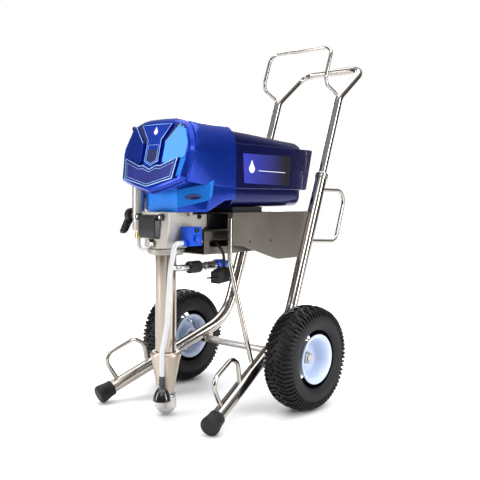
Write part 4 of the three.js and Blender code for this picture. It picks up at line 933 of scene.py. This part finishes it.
# ---- shroud ----
# One moulding in metallic blue gloss paint over the gears, open behind and below. Its front edge
# follows the cap, and a skirt with slanted corners reaches down over the drive housing.
FACE_TOP_Y = -274
FACE_SLOPE = 0.232
FACE_TOP_Z = 703
SHROUD_REAR_Y = -147
shroud_paint = finish_of("shroud_blue", (0.0005, 0.032, 0.36), metal=0.75, rough=0.27, shade=0.05, coat=0.25,
                         rough_spread=0.02, grain=(2500, 2500, 2500), depth=0.002)
# A lighter copy of the shroud blue: painted light on the skirt's front faces and on the right-hand cap
# facets, where the key light falls, and the tone of the raised corner facets.
painted_light_blue = finish_of("facet_blue_painted_light", (0.001, 0.16, 0.62), metal=0.5, rough=0.42, shade=0.12, coat=0.2,
                         rough_spread=0.02, grain=(2500, 2500, 2500), depth=0.002)
# Dark navy: painted shade in the finger recesses, the cap grooves and the stem inset, and the colour of the
# cap screws.
shade_and_screw_navy = finish_of("painted_shade_and_screw_navy", (0.003, 0.01, 0.09), metal=0.4, rough=0.3, shade=0.1, coat=0.5,
                       rough_spread=0.03, grain=(1200, 1200, 1200), depth=0.004)
trim_paint = finish_of("trim_light", (0.35, 0.62, 0.95), metal=0.3, rough=0.3, shade=0.05, coat=0.4,
                       rough_spread=0.03, grain=(900, 900, 900), depth=0.002)


def face_y(z):
    return FACE_TOP_Y - FACE_SLOPE * (FACE_TOP_Z - z)


def both_sides(half):
    """A closed loop from its right half, which runs from the top middle to the bottom middle."""
    return half + [(-x, z) for x, z in reversed(half) if x > 0]


RIM_HALF = [(0, 707), (44, 706), (64, 703), (83, 696), (97, 685), (108, 667), (118, 641), (119, 628),
            (110, 566), (103, 561), (55, 546), (0, 533)]


def section_at(share):
    """The shroud's outline between its front edge and its rear edge."""
    rear_half = [(0, 702), (52, 701), (76, 698), (90, 691), (101, 680), (109, 664), (112, 644), (112.5, 620),
                 (112, 560), (111, 548), (111, 530), (111, 519)]
    grown = [(0, 707.5), (46, 706.5), (67, 703.5), (86, 697), (99, 686), (110, 668), (118.5, 642),
             (119, 626), (111, 568), (108, 560), (106, 545), (104, 536)]
    low = min(1, share * 1.6)
    return [(gx + (rx - gx) * low, gz + (rz - gz) * low) for (gx, gz), (rx, rz) in zip(grown, rear_half)]


def shroud_shell():
    """The upper shell: an arch open below, from the cap's edge to the rear."""
    arch = [(x, z) for x, z in RIM_HALF[:-2]]
    sections = []
    for share in (0, 0.05, 0.2, 0.4, 0.6, 0.8, 0.95, 1):
        half = section_at(share)[:-2] if share else arch
        full = [(-x, z) for x, z in reversed(half) if x > 0] + half
        row = []
        for x, z in full:
            start = face_y(z)
            row.append((x, start + (SHROUD_REAR_Y - start) * share + (0.4 if not share else 0), z))
        sections.append(row)
    return skin("shell", sections, shroud_paint, thickness=3, edge=1.2, sharp=40)


SKIRT_PLAN = [(111, -147), (111, -185), (111, -236), (106, -243), (56, -278), (50, -282), (0, -282.5),
              (-50, -282), (-56, -278), (-106, -243), (-111, -236), (-111, -185), (-111, -147)]


def skirt_foot(y):
    return 489 if y < -246 else min(520, 489 + (y + 246) * 0.45)


def shroud_skirt():
    plan = SKIRT_PLAN
    rows = [
        [(x * 0.985, y + 1.5, skirt_foot(y)) for x, y in plan],
        [(x, y, skirt_foot(y) + 5) for x, y in plan],
        [(x, y, 540) for x, y in plan],
        [(x, y, 562) for x, y in plan],
    ]
    skirt = skin("skirt", rows, shroud_paint, thickness=3, edge=1.5, sharp=25)
    # The faces turned to the front take the lighter blue: painted light from the softbox in front.
    skirt.data.materials.append(painted_light_blue)
    for face in skirt.data.polygons:
        if face.normal.y < -0.9:
            face.material_index = 1
    return skirt


def chin():
    """The shelf under the cap, from its lower rim back to the skirt."""
    front = [(102, 561), (55, 546), (0, 533), (-55, 546), (-102, 561)]
    rows = [
        [(x, face_y(z) + 0.4, z) for x, z in front],
        [(x * 0.99, -279, z + 3) for x, z in front],
    ]
    return skin("chin", rows, shroud_paint, thickness=3, edge=0.8, sharp=25)


shroud_pieces = [shroud_shell(), shroud_skirt(), chin()]
shroud = joined("painted_shroud", shroud_pieces)
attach(shroud, "machine")
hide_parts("shroud")


def slab(name, corners, lift, material, edge=0.8, sharp=30):
    """A thin panel: corners on its underside, given outwards in turn, and lifted by a vector."""
    top = [(x + lift[0], y + lift[1], z + lift[2]) for x, y, z in corners]
    piece = skin(name, [corners, top], material, closed=True, edge=edge, sharp=sharp, ends=True)
    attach(piece, "machine")
    return piece


# A lighter raised facet wraps each slanted corner of the skirt, partly painted light, with an oval finger
# recess in dark navy that is painted shade.
for side, s in (("left", 1), ("right", -1)):
    facet_rows = [
        [(s * x, y - 0.2, z) for x, y, z in row] for row in (
            [(49, -283.2, 541), (106, -243.5, 556), (112, -236, 561), (112, -226, 565)],
            [(52, -282.2, 500), (106, -243.5, 516), (112, -236, 521), (112, -230, 530)],
        )
    ]
    facet = skin("corner_facet_" + side, facet_rows, painted_light_blue, thickness=-2.5, edge=0.8, sharp=20)
    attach(facet, "machine")
    slant = Vector((s * 0.575, -0.818, 0))
    recess = turned(
        "finger_recess_" + side,
        [(0, -1), (8, -1), (9, 0.2), (9.4, 1.4), (8.4, 1.8), (7, 0.8), (4, 0.2), (0, 0)],
        at(s * 84, -263, 525), slant, shade_and_screw_navy, "machine", sides=32,
    )
    middle = at(s * 84, -263, 525)
    along = Vector((s * 0.818, 0.575, 0.05)).normalized()
    for v in recess.data.vertices:
        off = v.co - middle
        v.co = middle + off + along * off.dot(along) * 1.1 - Vector((0, 0, 1)) * off.z * 0.35

# ---- front cap ----
# Shield-shaped moulding screwed to the front of the shroud: facets round a raised stem with a plain
# badge, a groove down each side of the stem, and a chevron band across the foot.
cap_paint = finish_of("cap_blue", (0.001, 0.03, 0.36), metal=0.75, rough=0.28, shade=0.05, coat=0.25,
                      rough_spread=0.02, grain=(2500, 2500, 2500), depth=0.002)
band_paint = finish_of("band_violet", (0.004, 0.01, 0.17), metal=0.4, rough=0.3, shade=0.3, coat=0.6,
                       rough_spread=0.03, grain=(900, 900, 900), depth=0.002, patch=14)


def on_cap(x, z, out):
    return (x, face_y(z) - out, z)


def facet_shape(name, corners, base, material, edge=0.6, sharp=15):
    """A solid facet: corners are (x, z, height over the face), standing on a flat base."""
    top = [on_cap(x, z, out) for x, z, out in corners]
    foot = [on_cap(x, z, base) for x, z, out in corners]
    piece = skin(name, [foot, top], material, closed=True, edge=edge, sharp=sharp, ends=True)
    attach(piece, "machine")
    return piece


CREASE_HALF = [(0, 703), (43, 702), (62, 699), (79, 693), (92, 683), (102, 666), (112, 640), (113, 628),
               (104, 571), (98, 566), (53, 552), (0, 539)]
INNER_HALF = [(0, 699), (42, 698), (59, 695), (75, 690), (86, 680), (97, 664), (106, 640), (107, 628),
              (97, 575), (91, 571), (51, 558), (0, 545.5)]
cap_body = skin("cap_body", [
    [on_cap(x, z, 0.3) for x, z in both_sides(RIM_HALF)],
    [on_cap(x, z, 5) for x, z in both_sides(RIM_HALF)],
    [on_cap(x, z, 11 if z > 560 else 13) for x, z in both_sides(CREASE_HALF)],
    [on_cap(x, z, 14) for x, z in both_sides(INNER_HALF)],
], cap_paint, closed=True, edge=1.2, sharp=14, ends=True)
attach(cap_body, "machine")
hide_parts("front_cap")
for side, s in (("left", 1), ("right", -1)):
    # The right-hand facets take the lighter blue as painted light from the key light, and the left-hand ones
    # keep the cap blue.
    facet_shape("cap_facet_" + side, [
        (s * x, z, out) for x, z, out in [
            (38, 650, 22), (78, 692, 19), (91, 679, 16), (107, 640, 13.2), (106, 617, 13.4), (46, 601, 20),
            (36, 606, 21.5),
        ]
    ], 10, painted_light_blue if s > 0 else cap_paint, edge=0.8)
    facet_shape("cap_side_facet_" + side, [
        (s * x, z, out) for x, z, out in [(106, 614, 13.6), (97.5, 577, 14), (84, 571, 17), (92, 611, 18)]
    ], 10, painted_light_blue if s > 0 else cap_paint, edge=0.8)
    # Each groove is a dark navy slab: painted shade where the groove lies.
    facet_shape("cap_groove_" + side, [
        (s * x, z, 15.2) for x, z in [(59, 695), (74, 692), (37, 649), (27, 651), (27, 656)]
    ], 10, shade_and_screw_navy, edge=0.3)
    line_run = [Vector(on_cap(s * x, z, out)) for x, z, out in ((77, 692, 19.4), (38, 650, 22.4))]
    line = bar("cap_line_%s_0" % side, line_run, 0.6, trim_paint, 2)
    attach(line, "machine")
    turned("cap_screw_" + side,
           [(0, 0), (6.2, 0), (7, 0.8), (7, 3), (6, 3.8), (3.4, 3.9), (3.2, 1.6), (0, 1.6)],
           at(*on_cap(s * 84, 686, 15.5)), (0, -0.974, -0.226), shade_and_screw_navy, "machine", sides=28)


def outlined(name, half, out, base, material, trim, width=0.9):
    """A raised panel with light piping round its edge."""
    loop = both_sides(half)
    panel = facet_shape(name, [(x, z, out) for x, z in loop], base, material, edge=0.5)
    run = [Vector(on_cap(x, z, out + 0.2)) for x, z in loop]
    run.append(run[0])
    piping = bar(name + "_piping", run, width, trim, 2)
    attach(piping, "machine")
    return panel


outlined("cap_stem", [(0, 693), (50, 692), (22, 656), (23, 607), (0, 597)], 21.5, 10, cap_paint, trim_paint,
         width=0.7)
# The stem inset is a dark navy slab inside the window: painted shade in its hollow.
facet_shape("stem_inset", [(x, z, 22.1) for x, z in both_sides([(0, 634), (16, 636), (17, 610), (0, 603)])],
            20, shade_and_screw_navy, edge=0.3)
outlined("stem_window", [(0, 645), (17, 645), (17.5, 609), (0, 601)], 21.9, 20, cap_paint, trim_paint,
         width=0.45)
BAND_HALF = [(0, 588), (22, 597), (36, 596), (88, 614), (80, 567), (0, 549)]
outlined("cap_band", BAND_HALF, 23.5, 10, band_paint, trim_paint, width=0.9)
INNER_BAND_HALF = [(0, 582), (22, 590), (37, 589), (80, 604), (74, 571.5), (0, 554)]
outlined("band_inner", INNER_BAND_HALF, 23.9, 20, band_paint, trim_paint, width=0.45)

# The badge is a plain white paint drop.
badge_white = finish_of("badge_white", (0.7, 0.74, 0.85), rough=0.35, shade=0.02, depth=0.002)


def drop_outline(size):
    """The outline of a paint drop round its middle, as (across, up)."""
    outline = []
    for k in range(24):
        angle = 2 * math.pi * k / 24
        point = max(0, math.cos(angle))
        outline.append((size * math.sin(angle) * (1 - 0.55 * point ** 2),
                        size * math.cos(angle) * (1 + 0.9 * point ** 3)))
    return outline


facet_shape("badge_drop", [(x, 675 + z, 22.4) for x, z in drop_outline(6.4)], 21, badge_white, edge=0.2)
moulded("pressure_knob", guard_black, edge=0.8)
turned("switch_toggle", [
    (0, 2.6), (2.6, 2.6), (3.4, 3.2), (3.4, 5.4), (2.9, 6), (1.7, 6.4), (1.7, 9), (2.4, 16.6),
    (2.2, 17.8), (1.2, 18.3), (0, 18.3),
], at(-112.3, -205, 622), (-1, 0, 0), zinc, "power_switch", ["power_switch"], 20)

# ---- motor cover ----
# Navy gloss moulding over the motor: a flat-sided core that carries a label panel on each side,
# and rolls along its top and foot that end short of the rear.
COVER_FRONT_Y = -146.7
cover_paint = finish_of("cover_navy", (0.0005, 0.004, 0.085), metal=0.7, rough=0.27, shade=0.05, coat=0.3,
                        rough_spread=0.02, grain=(2500, 2500, 2500), depth=0.002)


def cover_loop(y_top, y_lean, drop, half):
    return [(x, y_top + y_lean * (z - 599), z - (drop if z > 640 else 0)) for x, z in both_sides(half)]


ROLL_HALF = [(0, 691.5), (64, 691), (78, 688), (88, 681), (93.5, 670), (94, 660), (94, 540), (94, 522),
             (90, 511), (82, 504), (70, 501.5), (0, 501.5)]
CORE_HALF = [(0, 658), (99, 656), (100.5, 654), (100.5, 547), (99, 545), (0, 544)]
roll_in = [(x * 0.95 if x else 0, 599 + (z - 599) * 0.93) for x, z in ROLL_HALF]
rolls = skin("cover_rolls", [
    cover_loop(COVER_FRONT_Y, 0, 0, ROLL_HALF),
    cover_loop(-20, 0.02, 9, ROLL_HALF),
    cover_loop(122, 0.04, 19, ROLL_HALF),
    cover_loop(133, 0.04, 20, [(x * 0.985, 599 + (z - 599) * 0.98) for x, z in ROLL_HALF]),
    cover_loop(138, 0.04, 20.5, roll_in),
], cover_paint, closed=True, edge=0, sharp=30, ends=True)
core = skin("cover_core", [
    cover_loop(COVER_FRONT_Y, 0, 0, CORE_HALF),
    cover_loop(162, 0.24, 3, CORE_HALF),
    cover_loop(168, 0.24, 3.5, [(x * 0.97, 599 + (z - 599) * 0.96) for x, z in CORE_HALF]),
], cover_paint, closed=True, edge=1.6, sharp=30, ends=True)
collar_line = skin("cover_band", [
    cover_loop(COVER_FRONT_Y - 0.2, 0, 0, [(x * 1.05, 599 + (z - 599) * 1.035) for x, z in ROLL_HALF]),
    cover_loop(COVER_FRONT_Y + 5, 0, 0, [(x * 1.05, 599 + (z - 599) * 1.035) for x, z in ROLL_HALF]),
], cover_paint, closed=True, edge=0.8, sharp=30, ends=True)
motor_cover = joined("gloss_motor_cover", [rolls, core, collar_line])
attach(motor_cover, "machine")
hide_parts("motor_cover")


def label_finish():
    """Printed film that fades from violet blue at the front to black at the rear."""
    material = finish_of("label_film", (0.02, 0.03, 0.4), rough=0.35, coat=0.5, depth=0.001)
    nodes = material.node_tree.nodes
    links = material.node_tree.links
    place = nodes.new("ShaderNodeTexCoord")
    split = nodes.new("ShaderNodeSeparateXYZ")
    links.new(place.outputs["Object"], split.inputs["Vector"])
    along = nodes.new("ShaderNodeMapRange")
    along.inputs["From Min"].default_value = at(0, -110, 0).y
    along.inputs["From Max"].default_value = at(0, 50, 0).y
    links.new(split.outputs["Y"], along.inputs["Value"])
    fade = nodes.new("ShaderNodeValToRGB")
    fade.color_ramp.elements[0].color = (0.02, 0.03, 0.36, 1)
    fade.color_ramp.elements[1].color = (0.001, 0.001, 0.008, 1)
    links.new(along.outputs["Result"], fade.inputs["Fac"])
    links.new(fade.outputs["Color"], nodes["Principled BSDF"].inputs["Base Color"])
    return material


label_film = label_finish()
for side, s in (("left", 1), ("right", -1)):
    slab("side_label_" + side, [(s * 100.3, -109, 632), (s * 100.3, 84, 632), (s * 100.3, 76, 556),
                                (s * 100.3, -104, 560)], (s * 0.5, 0, 0), label_film, edge=0.2)
    drop_points = [(s * 100.7, -76 + y, 596 + z) for y, z in drop_outline(11)]
    slab("side_drop_" + side, drop_points, (s * 0.4, 0, 0), badge_white, edge=0.1)
    slab("side_rule_" + side, [(s * 100.7, -50, 592), (s * 100.7, 58, 590), (s * 100.7, 58, 588.4),
                               (s * 100.7, -50, 590.4)], (s * 0.4, 0, 0), badge_white, edge=0.1)
moulded("motor_pad", boot_black, edge=1)
moulded("motor_stator", cast, edge=0.8)
copper = finish_of("rotor_copper", (0.45, 0.25, 0.14), metal=1, rough=0.35)
moulded("motor_rotor", copper, edge=0)
moulded("cooling_fan", bush_black, edge=0)

# ---- control box ----
# A moulded box under the deck that holds the motor's electronics, where the mains lead goes in.
moulded("control_box", box_black, edge=3, rounds=3)
